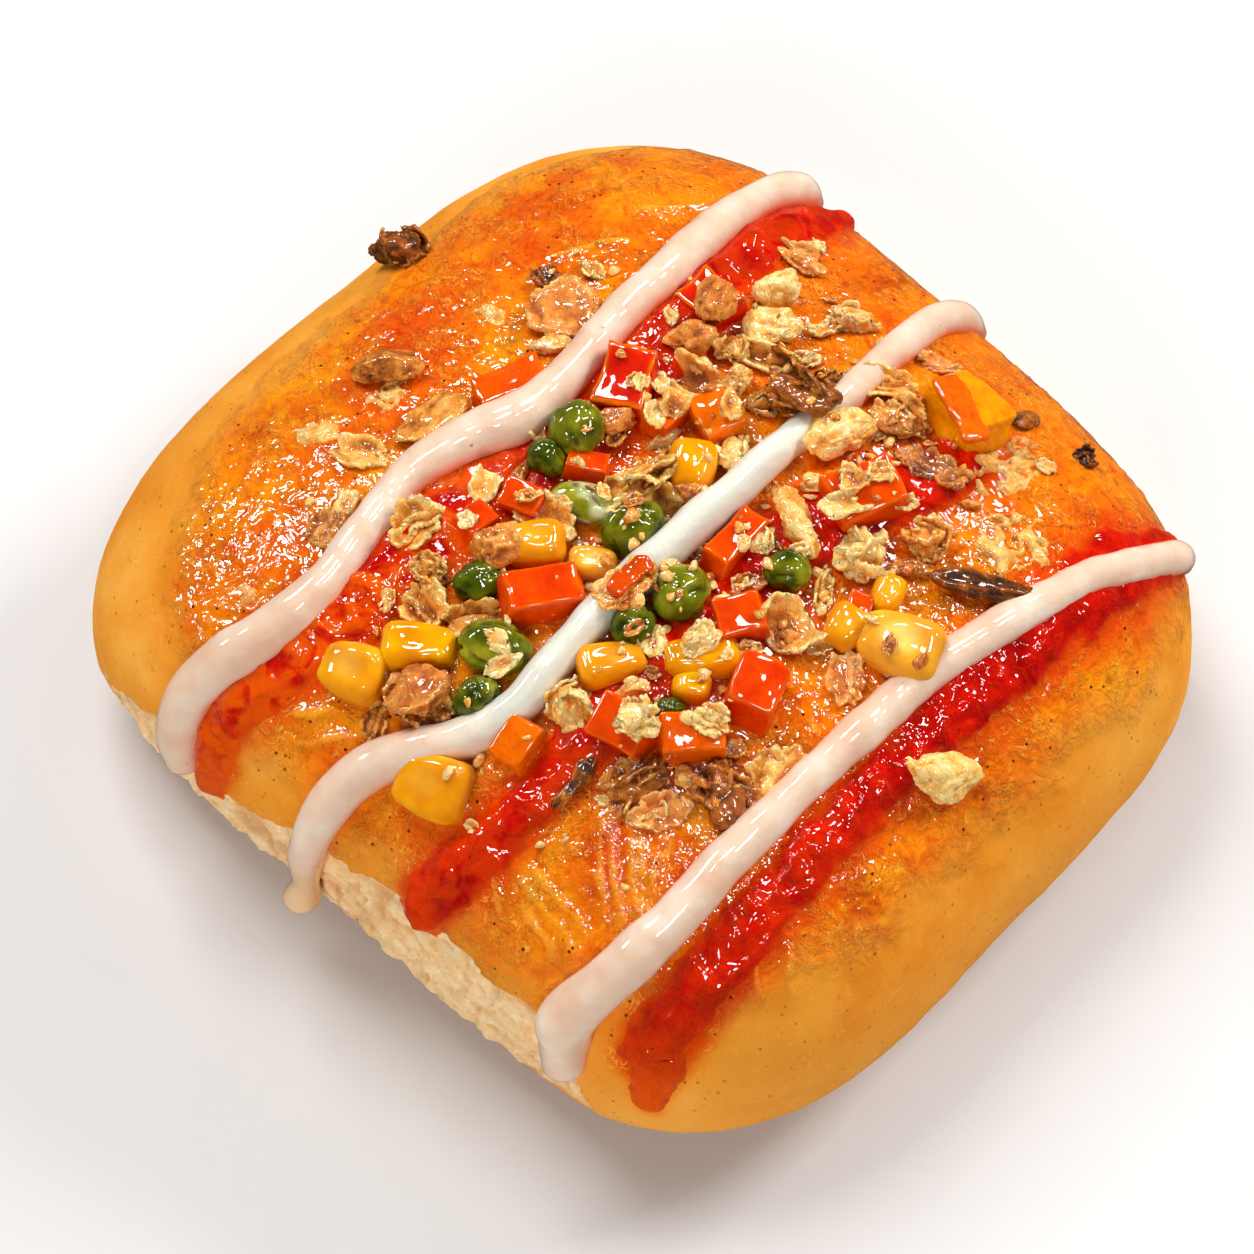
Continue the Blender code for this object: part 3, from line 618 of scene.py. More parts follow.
class Shader:
    """Short forms for the nodes that the materials use."""

    def __init__(self, name):
        self.material = bpy.data.materials.new(name)
        self.material.use_nodes = True
        self.nodes, self.links = self.material.node_tree.nodes, self.material.node_tree.links
        self.out = self.nodes["Principled BSDF"]
        self.place = self.nodes.new("ShaderNodeTexCoord").outputs["Object"]

    def set(self, **values):
        for key, value in values.items():
            self.out.inputs[key.replace("_", " ")].default_value = value

    def link(self, source, target):
        self.links.new(source, self.out.inputs[target])

    def gloss(self, roughness, coat, coat_roughness, inner, inner_mm, shine=0.0):
        """Gloss of the surface and its coat, and how much light spreads how far inside."""
        self.set(Roughness=roughness, Coat_Weight=coat, Coat_Roughness=coat_roughness)
        self.set(Subsurface_Weight=inner, Subsurface_Scale=inner_mm * MM, Specular_IOR_Level=shine)

    def put(self, socket, value):
        if isinstance(value, bpy.types.NodeSocket):
            self.links.new(value, socket)
        else:
            socket.default_value = value

    def attributes(self, *names):
        found = []
        for name in names:
            node = self.nodes.new("ShaderNodeAttribute")
            node.attribute_name = name
            found.append(node.outputs["Fac"])
        return found

    def noise(self, size, detail=3, rough=0.55, warp=0):
        node = self.nodes.new("ShaderNodeTexNoise")
        self.links.new(self.place, node.inputs["Vector"])
        values = {"Scale": 1 / (size * MM), "Detail": detail, "Roughness": rough, "Distortion": warp}
        for key, value in values.items():
            node.inputs[key].default_value = value
        return node.outputs["Fac"]

    def spread(self, value, low, high, to_low=0, to_high=1):
        node = self.nodes.new("ShaderNodeMapRange")
        node.interpolation_type = "SMOOTHSTEP"
        values = {"Value": value, "From Min": low, "From Max": high, "To Min": to_low, "To Max": to_high}
        for key, number in values.items():
            self.put(node.inputs[key], number)
        return node.outputs["Result"]

    def specks(self, size, rim, core, most=1):
        """Dots, scattered one to a size: 0 beyond rim and the most within core."""
        node = self.nodes.new("ShaderNodeTexVoronoi")
        self.links.new(self.place, node.inputs["Vector"])
        node.inputs["Scale"].default_value = 1 / (size * MM)
        return self.spread(node.outputs["Distance"], rim, core, 0, most)

    def math(self, operation, first, *second):
        node = self.nodes.new("ShaderNodeMath")
        node.operation = operation
        for socket, value in zip(node.inputs, (first, *second)):
            self.put(socket, value)
        return node.outputs[0]

    def times(self, first, second):
        return self.math("MULTIPLY", first, second)

    def plus(self, first, second):
        return self.math("ADD", first, second)

    def line(self, field, level, width):
        """Thin lines where a noise passes a level: 1 on them and 0 between."""
        return self.spread(self.math("ABSOLUTE", self.math("SUBTRACT", field, level)), 0, width, 1, 0)

    def lines(self, size, width, warp):
        """Thin winding lines, about a size apart."""
        return self.line(self.noise(size, 2, 0.5, warp), 0.5, width)

    def mix(self, share, first, second):
        node = self.nodes.new("ShaderNodeMix")
        node.data_type = "RGBA"
        self.put(node.inputs["Factor"], share)
        for socket, value in zip([s for s in node.inputs if s.type == "RGBA"], (first, second)):
            self.put(socket, (*linear(value), 1.0) if isinstance(value, tuple) else value)
        return [s for s in node.outputs if s.type == "RGBA"][0]

    def cover(self, colour, *coats):
        """A colour under coats of others, each with its share and its colour."""
        for share, top in coats:
            colour = self.mix(share, colour, top)
        return colour

    def ramp(self, value, *stops):
        """Colours along a value, each with its place and its red, green and blue."""
        node = self.nodes.new("ShaderNodeValToRGB")
        self.links.new(value, node.inputs["Fac"])
        elements = node.color_ramp.elements
        while len(elements) < len(stops):
            elements.new(0.5)
        for element, (place, *colour) in zip(elements, stops):
            element.position = place
            element.color = (*linear(colour), 1.0)
        return node.outputs["Color"]

    def bump(self, height, depth, target="Normal"):
        """Relief of the surface, or of its wet coat."""
        node = self.nodes.new("ShaderNodeBump")
        node.inputs["Distance"].default_value = depth * MM
        self.links.new(height, node.inputs["Height"])
        self.link(node.outputs["Normal"], target)


def roll_material():
    s = Shader("roll")
    glaze, tint, crumb, red, brown, low, crest = s.attributes(
        "glaze", "tint", "crumb", "red", "brown", "low", "crest"
    )
    # Plain crust: golden, paler low down, with faint freckles and veins.
    crust = s.cover(
        s.ramp(s.noise(9, 3, 0.5), (0.30, 224, 136, 40), (0.55, 232, 152, 52), (0.75, 240, 168, 70)),
        (s.times(low, 0.7), (232, 160, 72)),
        (s.spread(s.noise(0.9, 2), 0.66, 0.74, 0, 0.40), (190, 100, 20)),
        (s.times(s.lines(3.2, 0.02, 2.0), 0.22), (248, 190, 100)),
    )
    # Glaze: clear orange sauce and melted cheese over it, redder where the sauce pooled.
    cloudy = s.noise(2.4, 3, 0.55, 1.0)
    wiry = s.spread(s.noise(4.5, 2, 0.6), 0.44, 0.58, 0.12, 1.0)
    ground = s.noise(2.8, 2, 0.5, 2.4)
    finer = s.noise(1.6, 1, 0.5, 1.8)
    thread = s.times(s.line(finer, 0.50, 0.04), 0.45)
    # Thin pale lines on the wrinkles: partly the melted cheese's paler colour, partly painted highlight
    # along them.
    wires = s.times(s.math("MAXIMUM", s.line(ground, 0.50, 0.030), thread), wiry)
    # Dark lines beside the pale ones, in the grooves of the wrinkles: painted shade.
    groove_shade = s.times(s.line(ground, 0.44, 0.03), wiry)
    ruddy = s.spread(s.noise(1.8, 4, 0.7), 0.38, 0.62)
    scorch = s.times(s.specks(3.6, 0.20, 0.07), s.spread(s.noise(6, 1), 0.48, 0.58, 0, 0.6))
    film = s.cover(
        s.ramp(
            s.noise(9, 4, 0.5, 0.8),
            (0.30, 218, 84, 0), (0.45, 230, 108, 0), (0.58, 238, 126, 0), (0.74, 244, 150, 2),
        ),
        (s.spread(cloudy, 0.52, 0.70, 0, 0.70), (246, 152, 8)),
        (s.spread(cloudy, 0.47, 0.30, 0, 0.65), (206, 62, 0)),
        (s.spread(tint, 0.95, 0.35, 0, 0.85), (236, 140, 14)),
        (s.times(red, 0.85), (214, 48, 0)),
        # Painted shade in the wrinkle grooves.
        (s.times(groove_shade, 0.45), (196, 58, 0)),
        # Paler wrinkle lines and crests: partly the cheese's own colour, partly painted highlight.
        (s.times(wires, 0.60), (255, 188, 70)),
        (s.spread(crest, 0.40, 1.0, 0, 0.50), (254, 180, 50)),
        (s.times(brown, ruddy), (168, 56, 0)),
        (scorch, (170, 70, 4)),
    )
    pepper = s.times(s.specks(1.4, 0.17, 0.09), s.spread(s.noise(2.8, 1), 0.44, 0.56))
    # Torn crumb, darker in the low parts of its relief: painted shade in its pits and folds.
    inside = s.ramp(s.noise(2, 5, 0.6), (0.30, 238, 184, 122), (0.50, 248, 208, 152), (0.70, 255, 230, 188))
    inside = s.mix(s.spread(crest, 0.45, 0, 0, 0.7), inside, (214, 152, 92))
    pepper = s.times(pepper, s.spread(tint, 0, 1, 0.5, 1))
    colour = s.cover(s.mix(tint, crust, film), (pepper, (84, 30, 2)), (crumb, inside))
    s.link(colour, "Base Color")
    s.set(Subsurface_Weight=0.05, Subsurface_Scale=1.0 * MM, Coat_Roughness=0.04, Specular_IOR_Level=0.0)
    s.link(s.plus(s.spread(glaze, 0, 1, 0.45, 0.35), s.times(crumb, 0.3)), "Roughness")
    s.link(s.plus(s.times(glaze, 0.9), s.spread(crumb, 0, 1, 0.10, 0)), "Coat Weight")
    # Relief finer than the mesh.
    crinkle = s.plus(s.times(s.noise(0.8, 2, 0.6, 1.6), 1.1), finer)
    fine = s.times(crinkle, s.spread(wiry, 0, 1, 0.30, 0.65))
    wrinkles = s.times(s.plus(s.plus(s.times(wires, 0.16), ground), fine), glaze)
    skin = s.times(s.noise(1.8, 3, 0.5), s.spread(glaze, 0, 1, 0.14, 0))
    s.bump(s.plus(s.plus(wrinkles, skin), s.times(s.noise(0.9, 4, 0.65), crumb)), 0.50)
    s.bump(s.noise(2, 1, 0.4, 1.5), 0.30, "Coat Normal")
    return s.material


def red_material():
    s = Shader("red_sauce")
    thick, orange = s.attributes("thick", "orange")
    deep = s.ramp(s.noise(3.2, 3, 0.5, 0.5), (0.3, 152, 0, 0), (0.52, 190, 6, 0), (0.75, 218, 30, 0))
    streaky = s.times(orange, s.spread(s.noise(3.6, 3, 0.5, 1.0), 0.36, 0.56))
    s.link(s.cover(
        s.mix(thick, (226, 84, 0), s.mix(streaky, deep, (228, 84, 0))),
        (s.times(s.lines(2.2, 0.03, 1.2), 0.10), (240, 96, 8)),
        (s.specks(1.9, 0.09, 0.05, 0.8), (96, 10, 0)),
    ), "Base Color")
    s.bump(s.plus(s.noise(2, 2, 0.5, 0.8), s.times(s.noise(0.8, 2, 0.5, 1.2), 0.4)), 0.50)
    s.bump(s.noise(2.2, 1, 0.4, 1.0), 0.35, "Coat Normal")
    s.gloss(0.3, 0.75, 0.03, 0.05, 1.0)
    return s.material


def white_material():
    s = Shader("white_sauce")
    rim, clean, thin = s.attributes("rim", "clean", "thin")
    tinted = s.ramp(s.noise(5, 2), (0.3, 222, 182, 152), (0.5, 228, 198, 172), (0.7, 234, 214, 194))
    s.link(s.cover(
        s.mix(clean, tinted, (224, 222, 206)),
        # Pink-orange low on the rope's flanks near the roll: painted shade and painted reflection of the
        # sauce and bun below.
        (s.times(rim, 0.9), s.mix(clean, (236, 116, 66), (236, 200, 138))),
        (s.times(thin, 0.75), (232, 190, 140)),
        (s.specks(4, 0.06, 0.035, 0.8), (186, 100, 26)),
    ), "Base Color")
    s.bump(s.noise(2.6, 2, 0.5), 0.3)
    s.gloss(0.3, 1.0, 0.02, 0.25, 1.5)
    s.set(Subsurface_Radius=(1.0, 0.6, 0.4))
    return s.material


def pea_material():
    s = Shader("pea")
    tone, crease = s.attributes("tone", "crease")
    mottle = s.noise(2.2, 3, 0.6)
    dark = s.ramp(mottle, (0.3, 40, 54, 0), (0.7, 84, 94, 0))
    pale = s.ramp(mottle, (0.3, 100, 102, 0), (0.7, 172, 166, 36))
    s.link(s.cover(
        s.mix(tone, dark, pale),
        (s.spread(tone, 1.0, 1.5), (214, 216, 164)),
        # Darker in the wrinkles: painted shade.
        (s.times(crease, 0.75), (20, 30, 0)),
        (s.specks(1.6, 0.10, 0.05, 0.7), (30, 24, 0)),
    ), "Base Color")
    s.bump(s.noise(1.6, 2, 0.5), 0.25)
    s.gloss(0.35, 0.9, 0.03, 0.05, 1.0)
    return s.material


def corn_material():
    s = Shader("corn")
    body = s.ramp(s.noise(4, 2, 0.5), (0.3, 216, 124, 0), (0.5, 230, 146, 0), (0.7, 240, 168, 0))
    s.link(s.mix(s.attributes("tone")[0], body, (248, 216, 110)), "Base Color")
    s.bump(s.noise(2.4, 2), 0.25)
    s.gloss(0.3, 0.9, 0.03, 0.1, 1.5)
    return s.material


def cut_material(name, deep, pale, coat):
    """Diced vegetable: deep and pale are the ends of the two ranges of colour."""
    s = Shader(name)
    tone, edge = s.attributes("tone", "edge")
    mottle = s.noise(2.4, 3, 0.6)
    ends = [s.ramp(mottle, (0.3, *low), (0.7, *high)) for low, high in (deep, pale)]
    fibres = s.spread(s.noise(1.1, 2, 0.6, 1.5), 0.50, 0.70, 0, 0.3)
    # Paler along the edges: painted light on them.
    s.link(s.cover(s.mix(tone, *ends), (s.times(edge, 0.4), pale[1]), (fibres, deep[0])), "Base Color")
    s.bump(s.plus(s.times(s.noise(3.2, 1), 1.6), s.times(s.noise(0.9, 3, 0.6), 0.35)), 0.30)
    s.gloss(0.4, coat, 0.04, 0.1, 1.5)
    return s.material


def onion_material():
    s = Shader("fried_onion")
    tone, crease, blush = s.attributes("tone", "crease", "blush")
    # Raised lines, paler in colour: painted highlight on their ridges.
    wires = s.lines(1.1, 0.05, 0.8)
    shade = s.plus(tone, s.spread(s.noise(1.6, 3, 0.6), 0.3, 0.7, -0.13, 0.13))
    # Painted shade in folds and pits, and painted light on rims and bumps, from the makes.
    shade = s.math("SUBTRACT", s.plus(shade, s.times(crease, 0.27)), s.times(wires, 0.16))
    colour = s.ramp(
        shade,
        (0.0, 255, 220, 146), (0.2, 250, 188, 92), (0.42, 222, 138, 48),
        (0.65, 164, 86, 20), (0.85, 104, 52, 12), (1.0, 56, 28, 6),
    )
    s.link(s.mix(s.times(blush, 0.4), colour, (236, 116, 60)), "Base Color")
    s.bump(s.plus(s.noise(1, 3, 0.6, 0.8), s.times(wires, 0.5)), 0.25)
    s.bump(s.noise(1.8, 1, 0.4), 0.20, "Coat Normal")
    s.gloss(0.5, 0.7, 0.06, 0.2, 0.8, 0.1)
    s.set(Subsurface_Radius=(1.0, 0.8, 0.6))
    return s.material


def floor_material():
    s = Shader("floor")
    s.set(Roughness=0.6, Base_Color=FLOOR_COLOUR)
    return s.material


# The roll


def patches(mm, places, seed):
    """Soft-edged, ragged patches: 1 in their middle at full strength, 0 away from them."""
    total = np.zeros(len(mm))
    for i, (x, y, radius, strength) in enumerate(places):
        reach = np.hypot(mm[:, 0] - x, mm[:, 1] - y) / radius + 0.35 * layered(mm / radius * 2, 3, seed + i)
        total = np.maximum(total, strength * smooth(1.1, 0.3, reach))
    return total


def glaze_shares(mm):
    """1 on glaze and 0 on bare crust, with a narrow edge and with a wide one."""
    across, near, far = GLAZE_REACH
    x = np.abs(mm[:, 0] - GLAZE_MIDDLE) / across
    y = np.abs(mm[:, 1]) / np.where(mm[:, 1] < 0, near, far)
    inside = (1 - (x**GLAZE_POWER + y**GLAZE_POWER) ** (1 / GLAZE_POWER)) * across
    inside += 2.2 * layered(mm / 8.0, 3, 11) + 1.1 * layered(mm / 2.0, 3, 14)
    high = smooth(13.0, 18.0, mm[:, 2])
    return smooth(-1.2, 1.5, inside) * high, smooth(-3.0, 4.5, inside) * high


def crumb_share(mm, torn):
    """1 on bare torn crumb, 0 on crust."""
    marks_x, marks_z = zip(*LIP_MARKS)
    x = np.where(mm[:, 1] < 0, mm[:, 0], -mm[:, 0])
    lip = np.interp(x, marks_x, marks_z) + 0.9 * layered(mm / 2.6, 2, 31) + 0.8 * noise(mm / 6.0, 33)
    bottom = 2.0 + 0.9 * layered(mm / 4.0, 3, 37)
    z = mm[:, 2]
    return torn * smooth(0.35, -0.35, z - lip) * smooth(-0.4, 0.4, z - bottom)


def string_share(mm):
    """1 along the middle of the melted strings, 0 away from them."""
    total = np.zeros(len(mm))
    for x0, y0, x1, y1 in STRINGS:
        start, reach = np.array([x0, y0]), np.array([x1 - x0, y1 - y0])
        t = np.clip((mm[:, :2] - start) @ reach / (reach @ reach), 0, 1)
        away = np.linalg.norm(mm[:, :2] - start - t[:, None] * reach, axis=1) / STRING_WIDTH
        total = np.maximum(total, np.exp(-(away**2)) * (1 - (2 * t - 1) ** 6))
    return total


def glaze_lift(mm):
    """Relief of the glaze in mm: its thickness, net-like wrinkles, strings and bubbles."""
    warp = mm + 1.2 * warps(mm / 4.0, 71)
    wrinkle = 0.30 * ridged(warp / 3.4, 2, 81)
    wrinkle *= 0.6 + 0.6 * smooth(-0.3, 0.4, layered(mm / 11.0, 2, 87))
    bubble = 0.25 * smooth(0.42, 0.1, hollows(warp / 2.6, 93)) * smooth(0.1, 0.5, layered(mm / 6.0, 2, 95))
    return 0.15 + wrinkle + 0.5 * string_share(mm + 0.7 * (warp - mm)) + bubble


def crumb_lift(mm):
    """Relief of the torn crumb in mm: folds, fibres and pores."""
    warp = mm + 1.6 * warps(mm / 4.0, 101)
    hollow = hollows(warp / np.array([2.1, 3.0, 1.8]), 105)
    fold = 0.8 * ridged(warp / np.array([3.6, 6.0, 2.6]), 2, 107) + 0.4 * ridged(warp / 1.7, 1, 109)
    return -1.4 + 0.6 * noise(mm / np.array([7.0, 9.0, 5.0]), 99) + fold - 0.7 * smooth(0.5, 0.1, hollow)


def swell(mm, torn):
    """Low, wide lumps of the crust in mm."""
    return SWELL / MM * noise(mm / 22.0, 5) * (1 - torn)


def make_roll():
    rays, faces = roll_lattice()
    depth = np.where(rays[:, 2] > 0, DOME_HEIGHT, BELLY_DEPTH)
    ray = rays * np.stack([0 * depth + HALF_WIDTH, 0 * depth + HALF_LENGTH, depth], axis=1)
    skin = ray / roll_size(ray)[:, None]
    skin[:, 2] = np.maximum(skin[:, 2] + BASE_DEPTH, 0.0)
    normal = outward(skin)
    base = skin[:, 2] < 1e-6
    normal[base] = (0, 0, -1)
    mm = skin / MM
    torn = tear_share(skin)
    crumb = crumb_share(mm, torn)
    glaze, tint = (share * (1 - crumb) for share in glaze_shares(mm))
    near_red = np.min([line_share(skin, line) for line in RED_RIBBONS], axis=0)
    red = smooth(2.1, 0.8, near_red + 0.35 * layered(mm / 3.0, 3, 51))
    tint = np.maximum(tint, red * (1 - crumb))
    red = np.clip(np.maximum(red, patches(mm, RED_PATCHES, 57)), 0, 1) * (1 - crumb)
    brown = patches(mm, BROWN_PATCHES, 63) * glaze
    low = smooth(22.0, 3.0, mm[:, 2])

    lift = swell(mm, torn)
    film = glaze_lift(mm)
    inside = crumb_lift(mm)
    # How high the relief stands; the roll's colour uses it to paint highlight on the glaze's crests and
    # shade in the crumb's pits.
    crest = smooth(0.2, 0.9, film) * (1 - crumb) + smooth(-2.0, -0.1, inside) * crumb
    lift += glaze * film
    lift += (1 - glaze) * (1 - crumb) * (0.10 * layered(mm / 3.0, 3, 91) + 0.12 * noise(mm / 8.0, 92))
    lift += crumb * inside
    lift[base] = 0
    points = skin + normal * lift[:, None] * MM
    points[:, 2] = np.maximum(points[:, 2], 0.0)
    values = {
        "glaze": glaze, "tint": tint, "crumb": crumb, "red": red, "brown": brown, "low": low,
        "crest": crest,
    }
    return build_mesh("roll", points, faces, values, roll_material())


# Sauces


def make_ribbon(number, line, material):
    """A red ribbon: a skin over the roll, lifted near the line and sunk below the crust away
    from it, so that its edge is where the two cross."""
    route, widths = sauce_route(line, RIBBON_STEP * MM)
    side = unit(np.cross(along_route(route), outward(route)))
    across = np.linspace(-RIBBON_REACH, RIBBON_REACH, RIBBON_COLUMNS)
    spots = route[:, None] + side[:, None] * (across[None, :, None] * widths[:, None, None])
    flat = spots.reshape(-1, 3) - CENTRE
    flat = flat / roll_size(flat)[:, None] + CENTRE
    normal = outward(flat)
    mm = flat / MM
    edge = 1.0 + 0.30 * layered(mm / 3.2, 3, 120 + number) + 0.10 * layered(mm / 1.0, 2, 125)
    share = np.abs(np.tile(across, len(route))) / edge
    distance = np.arange(len(route)) * RIBBON_STEP
    tips = np.minimum(distance + 0.4, distance[-1] - distance + 0.4) / 2.0
    tips = np.repeat(np.clip(tips, 0, 1), len(across))
    crown = np.where(share < 1, np.clip(1 - share**2, 0, 1) ** 0.8, -1.2 * (share - 1))
    thick = 1.05 * crown * np.sqrt(tips) - 0.12
    lumps = 0.55 * layered(mm / 3.2, 2, 130 + number) + 0.45 * ridged(mm / 2.6, 1, 135)
    thick = thick + np.clip(thick + 0.2, 0, 1) * lumps
    level = swell(mm, tear_share(flat)) + 0.25 * glaze_shares(mm)[0]
    points = flat + normal * ((thick + level)[:, None] * MM)
    quads = grid_quads(len(route), len(across))
    seen = thick[quads[:, [0, 1, 3]]].max(axis=1) > -0.5
    values = {
        "thick": smooth(-0.2, 0.6, thick) * smooth(13.0, 27.0, mm[:, 2]),
        "orange": line["orange"] * (0.25 + 0.75 * smooth(0.0, -20.0, mm[:, 1])),
    }
    return build_mesh(f"red_sauce_{number}", points, quads[seen], values, material)


def heap_rise(y):
    """How far the heap lifts the rope that crosses it."""
    start, end = HEAP_SPAN
    near = np.minimum(y / MM - start, end - y / MM) / HEAP_SLOPE
    return HEAP_RISE * smooth(0, 1, near)


def make_rope(number, line, material):
    """A white rope with rounded tips, lying on the roll."""
    route, widths = sauce_route(line, ROPE_STEP * MM)
    along = along_route(route)
    side = unit(np.cross(along, outward(route)))
    over = unit(np.cross(side, along))
    rise = heap_rise(route[:, 1]) if line["over_heap"] else np.zeros(len(route))
    course = np.stack([route[:, 1] / MM / 4.0, widths * 0, widths * 0 + number], axis=1)
    centre = route + over * (WHITE_LIFT * widths + rise / 2)[:, None]
    centre += side * (0.25 * MM * layered(course * 0.8, 2, 17))[:, None]
    wobble = 1 + 0.10 * layered(course, 2, 7)
    wide, high = widths * wobble * WHITE_SLIM, widths * wobble + rise / 2
    angle = np.arange(ROPE_SIDES) / ROPE_SIDES * math.tau
    # Each ring: at which point of the route, how far ahead of it, and its share of the full girth.
    turns = [a * math.pi / 2 / TIP_STEPS for a in range(1, TIP_STEPS)]
    rings = [(0, -math.cos(a), math.sin(a)) for a in turns]
    rings += [(i, 0.0, 1.0) for i in range(len(route))]
    rings += [(len(route) - 1, math.sin(a), math.cos(a)) for a in turns]
    points, rims = [], []
    for i, ahead, girth in rings:
        middle = centre[i] + along[i] * ahead * widths[i] * TIP_LENGTH
        ring = middle + girth * (
            side[i] * (np.cos(angle) * wide[i])[:, None] + over[i] * (np.sin(angle) * high[i])[:, None]
        )
        points.append(ring)
        # How low each point of the ring sits, for the painted shade and reflection on the rope's low
        # flanks.
        rims.append(smooth(2.3, 0.3, (ring - route[i]) @ over[i] / MM))
    tips = [centre[0] - along[0] * widths[0] * TIP_LENGTH, centre[-1] + along[-1] * widths[-1] * TIP_LENGTH]
    flat = np.vstack([*points, *tips])
    faces = grid_quads(len(rings), ROPE_SIDES, True).tolist()
    end = (len(rings) - 1) * ROPE_SIDES
    pairs = [(j, (j + 1) % ROPE_SIDES) for j in range(ROPE_SIDES)]
    faces += [(len(flat) - 2, b, a) for a, b in pairs]
    faces += [(len(flat) - 1, end + a, end + b) for a, b in pairs]
    flat += 0.09 * MM * layered(flat / MM / 3.5, 2, 140 + number)[:, None] * unit(flat - flat.mean(axis=0))
    y, z = flat[:, 1] / MM, flat[:, 2] / MM
    values = {
        "rim": np.concatenate([*rims, [0.5, 0.5]]),
        "clean": smooth(-38, -28, y) * smooth(24, 12, y) * line["over_heap"],
        "thin": smooth(20, 16, z) * (y < 0) * line["over_heap"],
    }
    return build_mesh(f"white_sauce_{number}", flat, faces, values, material)


# Vegetables


def pose_of(node):
    """Centre, axes and half sizes of a CAD piece, from its largest faces."""
    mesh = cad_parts[node].data
    points = np.array([v.co for v in mesh.vertices])
    normals = np.array([p.normal for p in mesh.polygons])
    areas = np.array([p.area for p in mesh.polygons])
    weight = [areas[np.abs(normals @ n) > ALIKE].sum() for n in normals]
    first = normals[int(np.argmax(weight))]
    level = np.abs(normals @ first) < SQUARE
    weight = [areas[level][np.abs(normals[level] @ n) > ALIKE].sum() for n in normals[level]]
    second = normals[level][int(np.argmax(weight))] if level.any() else np.cross(first, (1, 0, 0))
    second = unit(second - first * (second @ first))
    axes = np.stack([first, second, np.cross(first, second)])
    upright = int(np.argmax(np.abs(axes[:, 2])))
    order = [k for k in range(3) if k != upright] + [upright]
    axes = axes[order]
    spans = points @ axes.T
    if np.ptp(spans[:, 1]) > np.ptp(spans[:, 0]):
        axes = axes[[1, 0, 2]]
        spans = spans[:, [1, 0, 2]]
    axes[2] *= np.sign(axes[2][2])
    axes[1] = np.cross(axes[2], axes[0])
    spans = points @ axes.T
    half = np.ptp(spans, axis=0) / 2
    centre = ((spans.max(axis=0) + spans.min(axis=0)) / 2) @ axes
    return centre, axes, half


def block(cuts):
    """A cube from -1 to 1 with its grid lines closer together near its edges."""
    points, faces = gridded_cube(cuts)
    return np.sign(points) * (1 - (1 - np.abs(points)) ** 1.5), faces


def rounded_box(points, half, radius):
    """Carries the points of a cube to a box with rounded edges."""
    spread = points * half
    core = np.clip(spread, -(half - radius), half - radius)
    return core + radius * unit(spread - core)


def nodes_of(kind):
    """The CAD nodes of a kind, in the order of their numbers."""
    return sorted((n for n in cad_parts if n.startswith(kind)), key=lambda n: int(n.split("_")[1]))


def make_peas():
    ball = bmesh.new()
    bmesh.ops.create_icosphere(ball, subdivisions=4, radius=1.0)
    p, faces = arrays_of(ball)
    pieces = []
    for i, node in enumerate(nodes_of("pea")):
        centre, axes, half = pose_of(node)
        fold = ridged(warped(p, 0.4, 1.4, i) * 1.25 + i, 1, i) ** 2
        dent = smooth(0.75, 0.98, p @ unit(np.array([0.3, -0.3, 1.0]) @ axes.T))
        size = 1.03 + 0.08 * layered(p * 1.6 + i, 2, i) - 0.16 * fold - 0.10 * dent
        local = p * size[:, None] * half
        tone = np.clip(PEA_TONES[i] + 0.8 * layered(p * 1.2 + i, 2, i + 40), 0, 1.5)
        # Painted shade in the wrinkles.
        pieces.append((centre + local @ axes, faces, {"tone": tone, "crease": smooth(0.3, 0.9, fold)}))
    return finish_kind("peas", pieces, pea_material(), "pea")


def make_corn():
    cube, faces = block(16)
    pieces = []
    for i, node in enumerate(nodes_of("corn")):
        centre, axes, half = pose_of(node)
        p = rounded_box(cube, half, min(half) * 0.72)
        share = p / half
        narrow = 1 - 0.22 * smooth(0.2, -1.0, share[:, 0])
        p = p * np.stack([np.ones(len(p)), narrow, narrow], axis=1)
        dent = smooth(0.6, 0.0, np.hypot(share[:, 0] - 0.15, share[:, 1])) * (share[:, 2] > 0)
        p[:, 2] -= dent * half[2] * 0.14
        p += p * 0.03 * layered(share * 1.5 + i, 2, 200 + i)[:, None]
        core = smooth(0.75, 0.2, np.hypot(share[:, 0] + 0.1, share[:, 1] - 0.1)) * (share[:, 2] > 0)
        tone = np.clip(CORN_TONES[i] * np.maximum(core, 0.15), 0, 1)
        pieces.append((centre + p @ axes, faces, {"tone": tone}))
    return finish_kind("corn", pieces, corn_material(), "corn")


def make_dice(kind, tones, uneven, material):
    cube, faces = block(12)
    # How near the edges each point is, for the painted light along them.
    edge = smooth(0.80, 1.0, np.sort(np.abs(cube), axis=1)[:, 1])
    pieces = []
    for i, node in enumerate(nodes_of(kind)):
        centre, axes, half = pose_of(node)
        p = rounded_box(cube, half, min(half) * 0.16)
        share = p / half
        p[:, 0] *= 1 - 0.06 * share[:, 2]
        p += p * uneven * layered(share * 0.8 + 3 * i, 2, 300 + i)[:, None]
        p += 0.06 * MM * layered(p / MM / 0.8, 3, 310)[:, None] * unit(p)
        pieces.append((centre + p @ axes, faces, {"tone": tones[i], "edge": edge}))
    return finish_kind(kind, pieces, material, kind)


def finish_kind(name, pieces, material, slot_name):
    obj = build_mesh(name, *join(pieces), material)
    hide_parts(*nodes_of(slot_name))
    return obj


# Fried onion. Each make gives the points in mm, the faces and a painted shading for each point: painted
# shade in its folds, pits and hollows, and painted light on rims and bumps where it has them.


def warped(p, amount, scale, seed):
    """Points moved by smooth shifts, where a higher scale makes them vary faster."""
    return p + amount * warps(p * scale + seed, seed)


